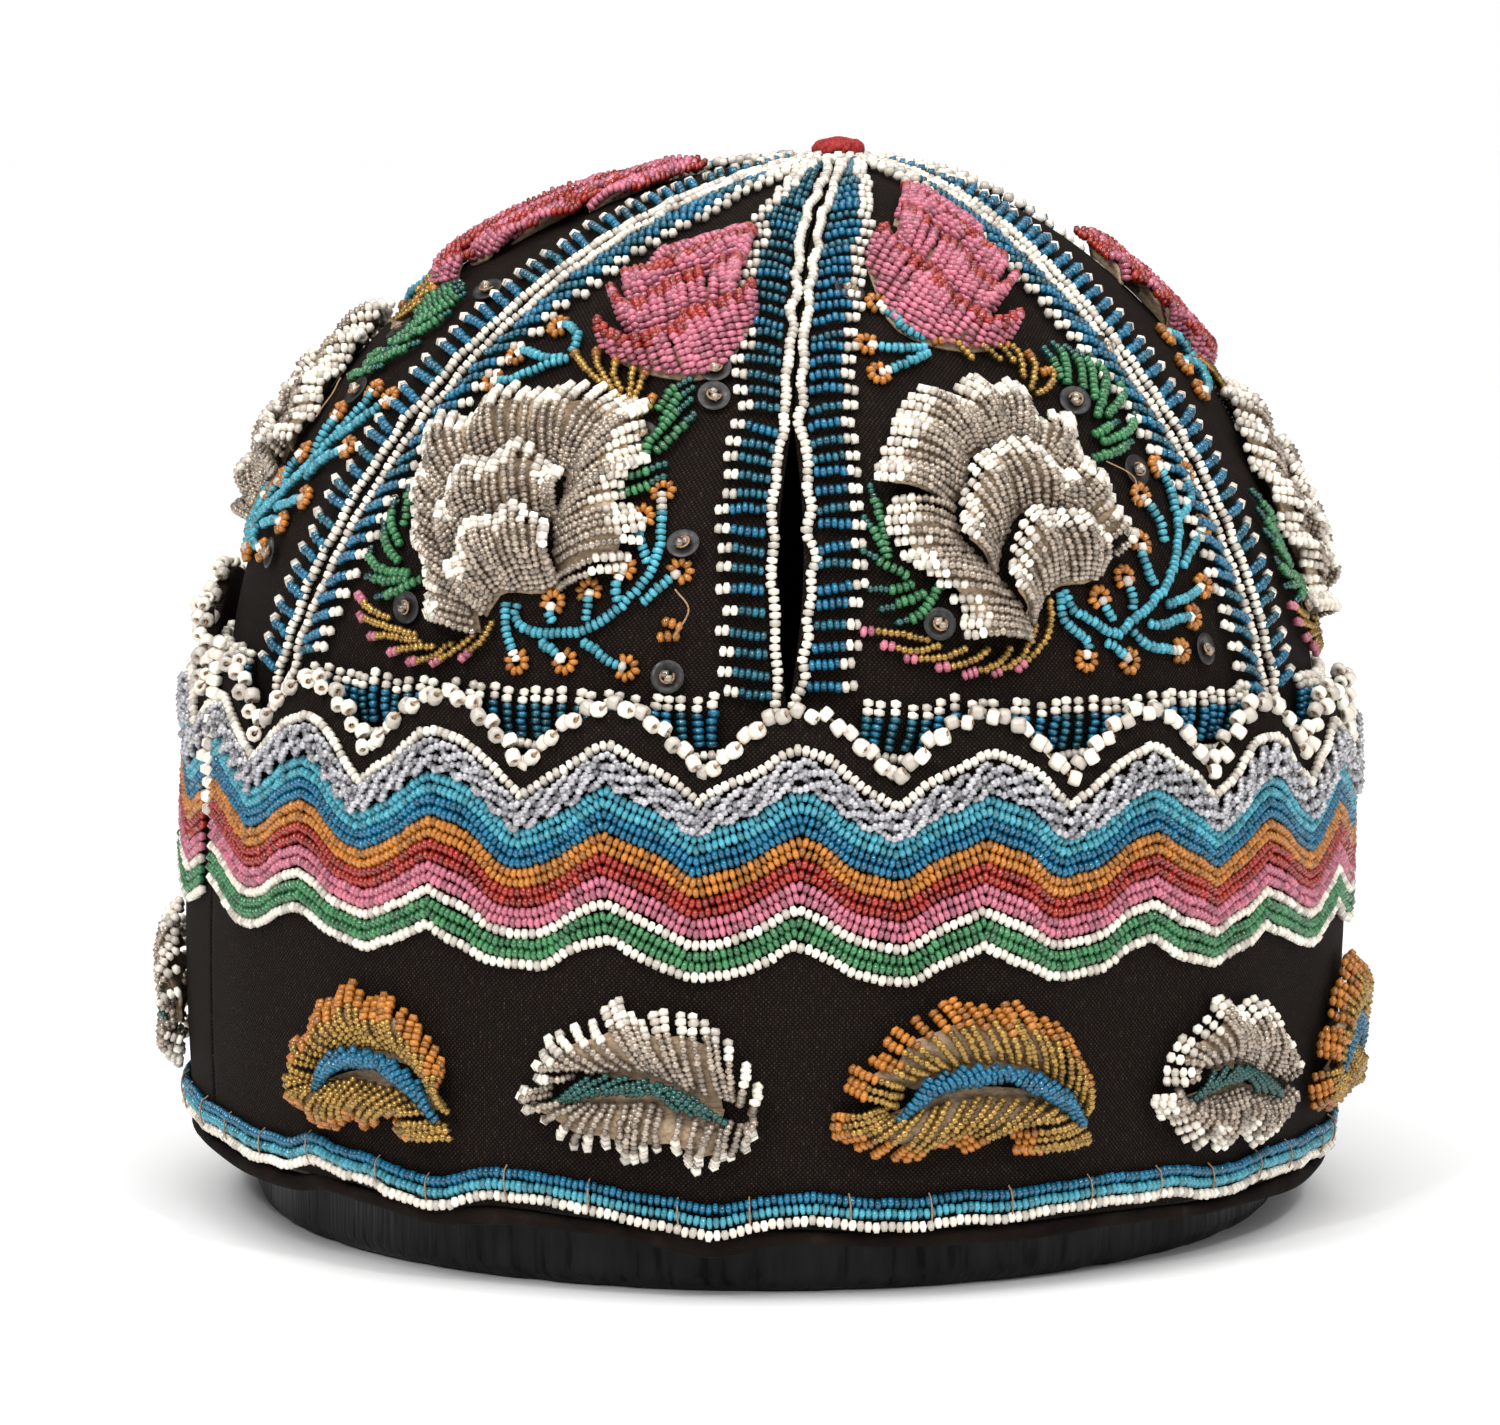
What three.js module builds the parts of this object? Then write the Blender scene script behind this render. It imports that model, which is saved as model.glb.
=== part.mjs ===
// A cloth cap of six gores and a scalloped standing band, with raised bead motifs, on an oval
// wooden block whose hidden post carries the crown. Millimetres, +Z up, -Y is the front.
// The origin is the middle of the block's foot, on the surface that it stands on.
import * as THREE from 'three';

// Driving sizes of the cap
const CROWN_RADIUS = 87.1; // outer face of the cloth where the crown is widest
const CROWN_HEIGHT = 87.1; // from the widest level up to the peak
const DEPTH_RATIO = 1.03; // front to back over side to side
const CROWN_WALL = 1.8;
const SKIRT_DEPTH = 9; // crown cloth that goes down inside the band
const PEAK_LEAN = 7.6; // how far the peak leans to the right
const PEAK_LEAN_POWER = 7; // how late the lean starts on the way up
const RIM_HEIGHT = 9.5; // hem's lower edge above the table
const BAND_HEIGHT = 79; // hem's lower edge to the scallop peaks at the front
const BAND_STANDOFF = 6.2; // band's fullest face outside the crown
const BAND_RIM_TUCK = 2; // rim in from the fullest face
const BAND_TOP_TUCK = 1.4; // scallops in from the fullest face
const BAND_WALL = 2;
const BAND_SEAM_SLOT = 1.2; // open width between the ends of the band's strips
const BAND_BARE_STRIP = 1.6; // cloth without beads at each end of a strip
const SCALLOP_COUNT = 21;
const SCALLOP_DEPTH = 10.5;
const HEM_DEPTH = 2.3;
const HEM_THICKNESS = 3;
const CAP_TILT = THREE.MathUtils.degToRad(1.5); // the cap sits lower at its right
const CAP_SHIFT = -1.5; // sideways on the block

// Driving sizes of the raised work
const BEAD_RELIEF = 1.8; // one layer of seed beads
const EDGING_WIDTH = 2.6; // string of larger beads along the scallops
const BORDER_WIDTH = 7.6; // ladder stitches beside a seam
const FLOWER_RISE = 6;
const BUD_RISE = 4;
const LEAF_WIDTH = 38;
const LEAF_RISE = 5.5;
const KNOT_WIDTH = 7.8;
const KNOT_RISE = 4;
const SLIT_WIDTH = 3.6; // where the front seam has come open

// Driving sizes of the stand
const BLOCK_CLEARANCE = 6.3; // between the block and the inside of the hem
const BLOCK_DEPTH_RATIO = 1.05;
const BLOCK_HEIGHT = 34;
const POST_RADIUS = 13;
const POST_HEAD_RADIUS = 21;
const POST_HEAD_EDGE = 2;

const SEAT_GAP = 0.3; // between pieces that touch
const SEAM_GAP = 0.3; // between neighbouring gores

// Where the shapes meet, worked out from the sizes above
const CROWN_BASE = RIM_HEIGHT + 0.88 * BAND_HEIGHT;
const CROWN_ARC = CROWN_RADIUS * Math.PI / 2;
const CLOTH_ARC = CROWN_ARC + SKIRT_DEPTH;
const GORE_TIP_ARC = 0.25 * KNOT_WIDTH; // the gores end under the knot
const BAND_RADIUS = CROWN_RADIUS + BAND_STANDOFF;
const BAND_MIDDLE = RIM_HEIGHT + BAND_HEIGHT / 2;
const BAND_TOP = RIM_HEIGHT + BAND_HEIGHT;
const BAND_FOOT = RIM_HEIGHT + HEM_DEPTH + SEAT_GAP;
const BLOCK_HALF_WIDTH = BAND_RADIUS - BAND_RIM_TUCK - (BAND_WALL + HEM_THICKNESS) / 2 - BLOCK_CLEARANCE;
const WAVE_OFFSET = THREE.MathUtils.degToRad(2.7); // azimuth of the front scallop's peak

// Steps of the faceted surfaces
const GORE_COLUMNS = 6;
const GORE_ROWS = 10;
const SCALLOP_STEPS = 5; // columns of the band to a scallop
const RIM_STEPS = 3; // columns of the rim beading to a scallop
const HEM_STEPS = 2;
const PAD_SHARES = [1, 0.62];
const PAD_EDGE_SLOPE = 0.55; // how much of its rise a pad loses at its edge

// Crown seams: azimuth at the crown's base, and how far it drifts on the way to the peak.
const SEAMS = [
  { azimuth: -60, drift: 33 },
  { azimuth: 1.5, drift: 0 },
  { azimuth: 62, drift: -20 },
  { azimuth: 121, drift: -6 },
  { azimuth: 180, drift: 0 },
  { azimuth: 239, drift: 12 },
];
const FRONT_SEAM = 1;
const BORDER_ANGLE = 11; // most that a seam border takes of a gore's angle, near the peak
// Azimuths where the two strips of the band end.
const BAND_ENDS = { left: -68, right: 112 };
// Extra height of the scallops round the cap, as a share of the band's height.
const SCALLOP_RISES = [
  { azimuth: -68, rise: 0 },
  { azimuth: 0, rise: 0 },
  { azimuth: 112, rise: -0.01 },
  { azimuth: 165, rise: 0.06 },
  { azimuth: 215, rise: 0.13 },
  { azimuth: 260, rise: 0.14 },
  { azimuth: 292, rise: 0.03 },
];
// Dips of the rim: a drop as a share of the hem's depth, spread over degrees of azimuth.
const RIM_DIPS = [
  { azimuth: -58, drop: 0.45, spread: 9 },
  { azimuth: -28, drop: 0.3, spread: 8 },
  { azimuth: -5, drop: 0.8, spread: 5 },
  { azimuth: 22, drop: 0.25, spread: 10 },
  { azimuth: 66, drop: 0.4, spread: 9 },
  { azimuth: 140, drop: 0.5, spread: 12 },
  { azimuth: 215, drop: 0.4, spread: 12 },
];
// Bands of beadwork on the band: each edge's peak and valley as shares of the band's height.
const ZIGZAG_EDGES = { topPeak: 0.94, topValley: 0.835, footPeak: 0.527, footValley: 0.482 };
const RIM_BEADING_EDGES = { top: 0.1, foot: 0.036 };
// Motifs of the two kinds of gore. Place across and width are shares of the bare cloth between
// the seam borders there, place down and height are shares of the crown's arc.
const FLOWERS = {
  plain: { across: 0.415, down: 0.737, width: 0.69, height: 0.283, turn: 8 },
  mirrored: { across: 0.41, down: 0.713, width: 0.75, height: 0.32, turn: -12 },
};
const BUDS = {
  plain: { across: 0.54, down: 0.435, width: 0.8, height: 0.24, turn: 5 },
  mirrored: { across: 0.53, down: 0.385, width: 0.72, height: 0.28, turn: -14 },
};
// Outlines of the raised motifs: lobes round the edge and a taper towards the top.
const FLOWER_FORM = { lobes: 7, lobeDepth: 0.07, taper: -0.15, points: 21 };
const BUD_FORM = { lobes: 3, lobeDepth: 0.08, taper: 0.1, points: 15 };
const LEAF_FORM = { lobes: 5, lobeDepth: 0.06, taper: 0, points: 16 };
// Leaves round the band: azimuth, share of LEAF_WIDTH, and middle level and height as shares of
// the bare cloth between the rim beading and the zigzag beadwork.
const LEAVES = [
  { azimuth: -38.5, level: 0.45, width: 0.98, height: 0.78, gold: true },
  { azimuth: -11, level: 0.49, width: 0.97, height: 0.86, gold: false },
  { azimuth: 19, level: 0.54, width: 1.08, height: 0.84, gold: true },
  { azimuth: 48, level: 0.47, width: 0.92, height: 0.84, gold: false },
  { azimuth: 77, level: 0.48, width: 1, height: 0.82, gold: true },
  { azimuth: 106, level: 0.48, width: 0.94, height: 0.82, gold: false },
  { azimuth: 135, level: 0.52, width: 1.04, height: 0.8, gold: true },
  { azimuth: 164, level: 0.5, width: 1, height: 0.82, gold: false },
  { azimuth: 193, level: 0.48, width: 1.02, height: 0.82, gold: true },
  { azimuth: 221, level: 0.52, width: 0.96, height: 0.82, gold: false },
  { azimuth: 247, level: 0.5, width: 1, height: 0.82, gold: true },
  { azimuth: 271, level: 0.49, width: 0.96, height: 0.86, gold: false },
];
// Sections of the block: share of its half width, and height as a share of its height.
const BLOCK_SECTIONS = [
  { radius: 0.985, level: 0 },
  { radius: 1, level: 0.06 },
  { radius: 1, level: 0.55 },
  { radius: 0.985, level: 0.94 },
  { radius: 0.96, level: 1 },
];

const MATERIALS = {
  cloth: { color: 0x241c17, roughness: 0.95, metalness: 0 },
  zigzag: { color: 0x2f86b4, roughness: 0.35, metalness: 0 },
  white: { color: 0xe9dfd3, roughness: 0.35, metalness: 0 },
  blue: { color: 0x0f6aa0, roughness: 0.35, metalness: 0 },
  pink: { color: 0xd46a92, roughness: 0.35, metalness: 0 },
  gold: { color: 0xa8742c, roughness: 0.35, metalness: 0.2 },
  wool: { color: 0xb8323c, roughness: 0.9, metalness: 0 },
  blackWood: { color: 0x121214, roughness: 0.6, metalness: 0 },
};

const radians = THREE.MathUtils.degToRad;
const lerp = THREE.MathUtils.lerp;

// Extra height of the scallops at an azimuth: a smooth step between the rows of the table.
function riseAt(azimuth) {
  const degrees = THREE.MathUtils.radToDeg(azimuth);
  const start = SCALLOP_RISES[0].azimuth;
  const turned = THREE.MathUtils.euclideanModulo(degrees - start, 360) + start;
  for (let i = 1; i < SCALLOP_RISES.length; i += 1) {
    const low = SCALLOP_RISES[i - 1];
    const high = SCALLOP_RISES[i];
    if (turned <= high.azimuth) {
      const share = THREE.MathUtils.smoothstep(turned, low.azimuth, high.azimuth);
      return BAND_HEIGHT * lerp(low.rise, high.rise, share);
    }
  }
  return 0;
}

// How far the rim hangs below its plain level at an azimuth.
function dipAt(azimuth) {
  let drop = 0;
  for (const dip of RIM_DIPS) {
    const turn = azimuth - radians(dip.azimuth);
    const away = Math.atan2(Math.sin(turn), Math.cos(turn));
    drop += dip.drop * HEM_DEPTH * Math.exp(-((away / radians(dip.spread)) ** 2));
  }
  return drop;
}

// 1 at the peak of each wave round the band, 0 in its valleys; the power sharpens the valleys.
function wave(azimuth, power) {
  return Math.abs(Math.cos((azimuth - WAVE_OFFSET) * SCALLOP_COUNT / 2)) ** power;
}

function bandRadius(height) {
  const below = height < BAND_MIDDLE;
  const tuck = below ? BAND_RIM_TUCK : BAND_TOP_TUCK;
  return BAND_RADIUS - tuck * ((height - BAND_MIDDLE) / (BAND_HEIGHT / 2)) ** 2;
}

function bandPoint(azimuth, height, out) {
  const radius = bandRadius(height) + out;
  return new THREE.Vector3(radius * Math.sin(azimuth), -DEPTH_RATIO * radius * Math.cos(azimuth), height);
}

function bandTop(azimuth) {
  return BAND_TOP - SCALLOP_DEPTH * (1 - wave(azimuth, 0.85)) + riseAt(azimuth);
}

// A point of the crown cloth: azimuth, arc length down from the peak, and distance off the face.
function crownPoint(azimuth, arc, out) {
  const angle = Math.min(arc / CROWN_RADIUS, Math.PI / 2);
  const skirt = Math.max(arc - CROWN_ARC, 0);
  const skirtRadius = bandRadius(CROWN_BASE - SKIRT_DEPTH) - BAND_WALL - SEAT_GAP;
  const normalRadius = CROWN_HEIGHT * Math.sin(angle);
  const normalHeight = CROWN_RADIUS * Math.cos(angle);
  const length = Math.hypot(normalRadius, normalHeight);
  const flare = (skirtRadius - CROWN_RADIUS) * skirt / SKIRT_DEPTH;
  const radius = CROWN_RADIUS * Math.sin(angle) + flare + out * normalRadius / length;
  const rise = CROWN_HEIGHT * Math.cos(angle) + out * normalHeight / length;
  const lean = PEAK_LEAN * (Math.max(rise, 0) / CROWN_HEIGHT) ** PEAK_LEAN_POWER;
  return new THREE.Vector3(
    radius * Math.sin(azimuth) + lean,
    -DEPTH_RATIO * radius * Math.cos(azimuth),
    CROWN_BASE + rise - skirt,
  );
}

// Horizontal radius of the crown at an arc length, for turning widths into azimuths.
function crownRadiusAt(arc) {
  return CROWN_RADIUS * Math.sin(Math.min(arc / CROWN_RADIUS, Math.PI / 2));
}

function seamAzimuth(index, arc) {
  const turns = Math.floor(index / SEAMS.length);
  const seam = SEAMS[index - turns * SEAMS.length];
  return radians(seam.azimuth + 360 * turns + seam.drift * (1 - Math.min(arc / CROWN_ARC, 1)));
}

// Half the opening of a seam: the sewing gap, and the parted stretch of the front seam.
function seamOpening(index, arc) {
  const parted = Math.sin(Math.PI * THREE.MathUtils.clamp((arc / CROWN_ARC - 0.62) / 0.32, 0, 1));
  const slit = index % SEAMS.length === FRONT_SEAM ? SLIT_WIDTH * parted : 0;
  return (SEAM_GAP + slit) / 2;
}

// A closed wall between two grids of points, front[column][row] and back[column][row]. Columns
// go to the right and rows go up as seen from the front; a ring closes on its first column.
function wallGeometry(front, back, ring) {
  const columns = front.length;
  const rows = front[0].length;
  const positions = [];
  for (const side of [front, back]) {
    for (const column of side) {
      for (const point of column) {
        positions.push(point.x, point.y, point.z);
      }
    }
  }
  const at = (side, column, row) => (side * columns + column % columns) * rows + row;
  const faces = [];
  const quad = (a, b, c, d) => faces.push(a, b, c, a, c, d);
  const spans = ring ? columns : columns - 1;
  for (let i = 0; i < spans; i += 1) {
    for (let j = 0; j < rows - 1; j += 1) {
      quad(at(0, i, j), at(0, i + 1, j), at(0, i + 1, j + 1), at(0, i, j + 1));
      quad(at(1, i, j), at(1, i, j + 1), at(1, i + 1, j + 1), at(1, i + 1, j));
    }
    quad(at(0, i, 0), at(1, i, 0), at(1, i + 1, 0), at(0, i + 1, 0));
    quad(at(0, i, rows - 1), at(0, i + 1, rows - 1), at(1, i + 1, rows - 1), at(1, i, rows - 1));
  }
  if (!ring) {
    const last = columns - 1;
    for (let j = 0; j < rows - 1; j += 1) {
      quad(at(0, 0, j), at(0, 0, j + 1), at(1, 0, j + 1), at(1, 0, j));
      quad(at(0, last, j), at(1, last, j), at(1, last, j + 1), at(0, last, j + 1));
    }
  }
  return geometryFrom(positions, faces);
}

// A closed body through rings of points from its foot to its top, each ring the same length. Its
// two end faces meet at given middle points, or at the middle of their rings.
function ringGeometry(rings, middles) {
  const count = rings[0].length;
  const positions = [];
  const faces = [];
  for (const ring of rings) {
    for (const point of ring) {
      positions.push(point.x, point.y, point.z);
    }
  }
  for (let j = 0; j < rings.length - 1; j += 1) {
    for (let i = 0; i < count; i += 1) {
      const a = j * count + i;
      const b = j * count + (i + 1) % count;
      faces.push(a, b, b + count, a, b + count, a + count);
    }
  }
  const foot = positions.length / 3;
  const sumOf = (ring) => ring.reduce((sum, point) => sum.add(point), new THREE.Vector3());
  const meanOf = (ring) => sumOf(ring).divideScalar(count);
  for (const middle of middles ?? [meanOf(rings[0]), meanOf(rings[rings.length - 1])]) {
    positions.push(middle.x, middle.y, middle.z);
  }
  const top = (rings.length - 1) * count;
  for (let i = 0; i < count; i += 1) {
    const next = (i + 1) % count;
    faces.push(foot, next, i);
    faces.push(foot + 1, top + i, top + next);
  }
  return geometryFrom(positions, faces);
}

function geometryFrom(positions, faces) {
  const geometry = new THREE.BufferGeometry();
  geometry.setAttribute('position', new THREE.Float32BufferAttribute(positions, 3));
  geometry.setIndex(faces);
  geometry.computeVertexNormals();
  return geometry;
}

function meshOf(name, geometry, look) {
  const mesh = new THREE.Mesh(geometry, new THREE.MeshStandardMaterial(MATERIALS[look]));
  mesh.name = name;
  return mesh;
}

function grid(columns, rows, pointAt) {
  return Array.from({ length: columns + 1 }, (_, i) => (
    Array.from({ length: rows + 1 }, (__, j) => pointAt(i / columns, j / rows))
  ));
}

// One gore: a wall between two seams, from the skirt inside the band up to the peak.
function goreMesh(index) {
  const face = (out) => grid(GORE_COLUMNS, GORE_ROWS, (across, up) => {
    const arc = lerp(CLOTH_ARC, GORE_TIP_ARC, up);
    const radius = crownRadiusAt(arc);
    const left = seamAzimuth(index, arc) + seamOpening(index, arc) / radius;
    const right = seamAzimuth(index + 1, arc) - seamOpening(index + 1, arc) / radius;
    return crownPoint(lerp(left, right, across), arc, out);
  });
  return meshOf(`crown_gore_${index + 1}`, wallGeometry(face(0), face(-CROWN_WALL), false), 'cloth');
}

// Width of the ladder stitches at an arc length: shorter where the seams draw together.
function borderWidth(arc) {
  return Math.min(BORDER_WIDTH, crownRadiusAt(arc) * radians(BORDER_ANGLE));
}

// A strip of ladder stitches beside a seam; side is -1 on its left and 1 on its right.
function seamBorderMesh(index, side) {
  const rows = GORE_ROWS - 2;
  const face = (out) => grid(1, rows, (across, up) => {
    const arc = lerp(CLOTH_ARC, GORE_TIP_ARC, (up * rows + 1) / GORE_ROWS);
    const near = seamOpening(index, arc) + SEAT_GAP;
    const far = near + borderWidth(arc);
    const offset = side < 0 ? lerp(far, near, across) : lerp(near, far, across);
    return crownPoint(seamAzimuth(index, arc) + side * offset / crownRadiusAt(arc), arc, out);
  });
  const name = `seam_border_${index + 1}_${side < 0 ? 'left' : 'right'}`;
  return meshOf(name, wallGeometry(face(SEAT_GAP + BEAD_RELIEF), face(SEAT_GAP), false), 'blue');
}

// The bare cloth of a gore between its seam borders at an arc length, as two azimuths.
function bareCloth(index, arc) {
  const radius = crownRadiusAt(arc);
  const inset = borderWidth(arc) + 2 * SEAT_GAP;
  return {
    left: seamAzimuth(index, arc) + (seamOpening(index, arc) + inset) / radius,
    right: seamAzimuth(index + 1, arc) - (seamOpening(index + 1, arc) + inset) / radius,
  };
}

// A wall that follows the band between two azimuths, with a foot and a top that vary round it.
function bandWall(name, span, steps, faces, footAt, topAt, look) {
  const columns = Math.round((span.to - span.from) * SCALLOP_COUNT * steps.columns / 360);
  const ring = span.to - span.from === 360;
  const face = (out) => grid(columns, steps.rows, (across, up) => {
    const azimuth = radians(lerp(span.from, span.to, across));
    return bandPoint(azimuth, lerp(footAt(azimuth), topAt(azimuth), up), out);
  }).slice(0, ring ? columns : columns + 1);
  return meshOf(name, wallGeometry(face(faces.outer), face(faces.inner), ring), look);
}

// The top of the zigzag beadwork follows the scallops, and its foot the same waves, softer.
function zigzagTop(azimuth) {
  const share = lerp(ZIGZAG_EDGES.topValley, ZIGZAG_EDGES.topPeak, wave(azimuth, 1));
  return RIM_HEIGHT + BAND_HEIGHT * share;
}

function zigzagFoot(azimuth) {
  const share = lerp(ZIGZAG_EDGES.footValley, ZIGZAG_EDGES.footPeak, wave(azimuth, 1.6));
  return RIM_HEIGHT + BAND_HEIGHT * share;
}

// The edging is a string along the scallops: a rounded section carried along the band's top.
function edgingMesh(name, span) {
  const count = Math.round((span.to - span.from) * SCALLOP_COUNT * SCALLOP_STEPS / 360);
  const sides = 5;
  const half = EDGING_WIDTH / 2;
  const rings = [];
  for (let i = 0; i <= count; i += 1) {
    const azimuth = radians(lerp(span.from, span.to, i / count));
    const level = bandTop(azimuth) + SEAT_GAP + half;
    const ring = [];
    for (let k = 0; k < sides; k += 1) {
      const angle = (k + 0.5) * 2 * Math.PI / sides - Math.PI / 2;
      const out = half * Math.cos(angle) - BAND_WALL / 2;
      ring.push(bandPoint(azimuth, bandTop(azimuth), out).setZ(level + half * Math.sin(angle)));
    }
    rings.push(ring.reverse());
  }
  return meshOf(name, ringGeometry(rings), 'white');
}

// A raised pad: its outline has lobes, its face is domed and its back follows the cloth.
function padGeometry(form, width, height, rise, turn, placeAt) {
  const outline = Array.from({ length: form.points }, (_, i) => {
    const angle = i * 2 * Math.PI / form.points;
    const reach = 1 - form.lobeDepth * (1 - Math.cos(form.lobes * angle));
    const narrow = 1 - form.taper * Math.sin(angle);
    const turned = angle + turn;
    const a = Math.cos(turned) * reach * narrow * width / 2;
    const b = Math.sin(turned) * reach * height / 2;
    return new THREE.Vector2(a, b);
  });
  const ringAt = (share, out) => outline.map((p) => placeAt(p.x * share, p.y * share, out));
  const domeAt = (share) => SEAT_GAP + rise * (1 - PAD_EDGE_SLOPE * share ** 3);
  const back = [...PAD_SHARES].reverse().map((share) => ringAt(share, SEAT_GAP));
  const front = PAD_SHARES.map((share) => ringAt(share, domeAt(share)));
  return ringGeometry([...back, ...front], [placeAt(0, 0, SEAT_GAP), placeAt(0, 0, domeAt(0))]);
}

// A motif keeps its share of the bare cloth at each level, so it narrows as the gore does.
function motifMesh(name, index, motif, form, rise, look) {
  const placeAt = (a, b, out) => {
    const arc = (motif.down - b) * CROWN_ARC;
    const cloth = bareCloth(index, arc);
    return crownPoint(lerp(cloth.left, cloth.right, motif.across + a), arc, out);
  };
  const geometry = padGeometry(form, motif.width, motif.height, rise, radians(motif.turn), placeAt);
  return meshOf(name, geometry, look);
}

function leafMesh(index) {
  const leaf = LEAVES[index];
  const azimuth = radians(leaf.azimuth);
  const fieldFoot = RIM_HEIGHT + RIM_BEADING_EDGES.top * BAND_HEIGHT;
  const fieldTop = RIM_HEIGHT + ZIGZAG_EDGES.footValley * BAND_HEIGHT;
  const level = lerp(fieldFoot, fieldTop, leaf.level);
  const width = LEAF_WIDTH * leaf.width;
  const height = (fieldTop - fieldFoot) * leaf.height;
  const placeAt = (a, b, out) => bandPoint(azimuth + a / BAND_RADIUS, level + b, out);
  const geometry = padGeometry(LEAF_FORM, width, height, LEAF_RISE, 0, placeAt);
  return meshOf(`band_leaf_${index + 1}`, geometry, leaf.gold ? 'gold' : 'white');
}

// The hem: a rolled binding under the band, with the rim's dips.
function hemMesh() {
  const columns = HEM_STEPS * SCALLOP_COUNT;
  const side = (out) => grid(columns, 2, (across, up) => {
    const azimuth = across * 2 * Math.PI;
    const roll = up === 0.5 ? 0 : Math.sign(out + BAND_WALL / 2) * -0.25 * HEM_THICKNESS;
    const level = RIM_HEIGHT + HEM_DEPTH * up - dipAt(azimuth) * (1 - up);
    return bandPoint(azimuth, level, out + roll);
  }).slice(0, columns);
  const outer = (HEM_THICKNESS - BAND_WALL) / 2;
  return meshOf('hem_binding', wallGeometry(side(outer), side(outer - HEM_THICKNESS), true), 'cloth');
}

// The knot sits on the tips of the gores: its underside follows the cloth, its top is a low dome.
function knotMesh() {
  const count = 10;
  const ringAt = (share, out) => Array.from({ length: count }, (_, i) => (
    crownPoint(i * 2 * Math.PI / count, share * KNOT_WIDTH / 2, out)
  ));
  const rings = [
    ringAt(0.6, SEAT_GAP),
    ringAt(1, SEAT_GAP),
    ringAt(1.12, SEAT_GAP + 0.45 * KNOT_RISE),
    ringAt(0.65, SEAT_GAP + 0.9 * KNOT_RISE),
  ];
  const middles = [crownPoint(0, 0, SEAT_GAP), crownPoint(0, 0, SEAT_GAP + KNOT_RISE)];
  return meshOf('top_knot', ringGeometry(rings, middles), 'wool');
}

function blockMesh() {
  const count = 48;
  const rings = BLOCK_SECTIONS.map((section) => Array.from({ length: count }, (_, i) => {
    const azimuth = i * 2 * Math.PI / count;
    const radius = section.radius * BLOCK_HALF_WIDTH;
    return new THREE.Vector3(
      radius * Math.sin(azimuth),
      -BLOCK_DEPTH_RATIO * radius * Math.cos(azimuth),
      section.level * BLOCK_HEIGHT,
    );
  }));
  return meshOf('stand_block', ringGeometry(rings), 'blackWood');
}

// The post stands on the block and opens into a domed head that fits the crown's peak inside.
function postMesh(capMatrix) {
  const count = 24;
  const headArc = POST_HEAD_RADIUS;
  const headOut = -(CROWN_WALL + SEAT_GAP);
  const head = [1, 0.66, 0.33].map((share) => Array.from({ length: count }, (_, i) => (
    crownPoint(i * 2 * Math.PI / count, headArc * share, headOut).applyMatrix4(capMatrix)
  )));
  const peak = crownPoint(0, 0, headOut).applyMatrix4(capMatrix);
  const neckLevel = Math.min(...head[0].map((point) => point.z)) - 0.6 * POST_HEAD_RADIUS;
  const circle = (radius, x, level) => Array.from({ length: count }, (_, i) => {
    const azimuth = i * 2 * Math.PI / count;
    return new THREE.Vector3(x + radius * Math.sin(azimuth), -radius * Math.cos(azimuth), level);
  });
  const edge = head[0].map((point) => point.clone().setZ(point.z - POST_HEAD_EDGE));
  const rings = [
    circle(POST_RADIUS, peak.x, BLOCK_HEIGHT + SEAT_GAP),
    circle(POST_RADIUS, peak.x, neckLevel),
    edge,
    ...head,
  ];
  const foot = new THREE.Vector3(peak.x, 0, BLOCK_HEIGHT + SEAT_GAP);
  return meshOf('stand_post', ringGeometry(rings, [foot, peak]), 'blackWood');
}

const cap = new THREE.Group();
cap.rotation.y = CAP_TILT;
cap.position.x = CAP_SHIFT;
cap.updateMatrix();

// Degrees of azimuth at the ends of the band's strips: half their slot, and the bare cloth there.
const seamHalf = THREE.MathUtils.radToDeg(BAND_SEAM_SLOT / 2 / BAND_RADIUS);
const bareStrip = THREE.MathUtils.radToDeg(BAND_BARE_STRIP / BAND_RADIUS);
const strips = {
  front: { from: BAND_ENDS.left + seamHalf, to: BAND_ENDS.right - seamHalf },
  back: { from: BAND_ENDS.right + seamHalf, to: BAND_ENDS.left + 360 - seamHalf },
};
const beadFaces = { outer: SEAT_GAP + BEAD_RELIEF, inner: SEAT_GAP };
for (const [side, span] of Object.entries(strips)) {
  const wallFaces = { outer: 0, inner: -BAND_WALL };
  const wallSteps = { columns: SCALLOP_STEPS, rows: 3 };
  cap.add(bandWall(`band_${side}`, span, wallSteps, wallFaces, () => BAND_FOOT, bandTop, 'cloth'));
  const work = { from: span.from + bareStrip, to: span.to - bareStrip };
  const workSteps = { columns: SCALLOP_STEPS, rows: 2 };
  cap.add(bandWall(`zigzag_${side}`, work, workSteps, beadFaces, zigzagFoot, zigzagTop, 'zigzag'));
  cap.add(edgingMesh(`scallop_edging_${side}`, span));
}
const rimTop = (azimuth) => RIM_HEIGHT + RIM_BEADING_EDGES.top * BAND_HEIGHT - 0.5 * dipAt(azimuth);
const rimFoot = (azimuth) => RIM_HEIGHT + RIM_BEADING_EDGES.foot * BAND_HEIGHT - 0.2 * dipAt(azimuth);
const wholeRing = { from: 0, to: 360 };
const rimSteps = { columns: RIM_STEPS, rows: 1 };
cap.add(bandWall('rim_beading', wholeRing, rimSteps, beadFaces, rimFoot, rimTop, 'blue'));
cap.add(hemMesh());

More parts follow.
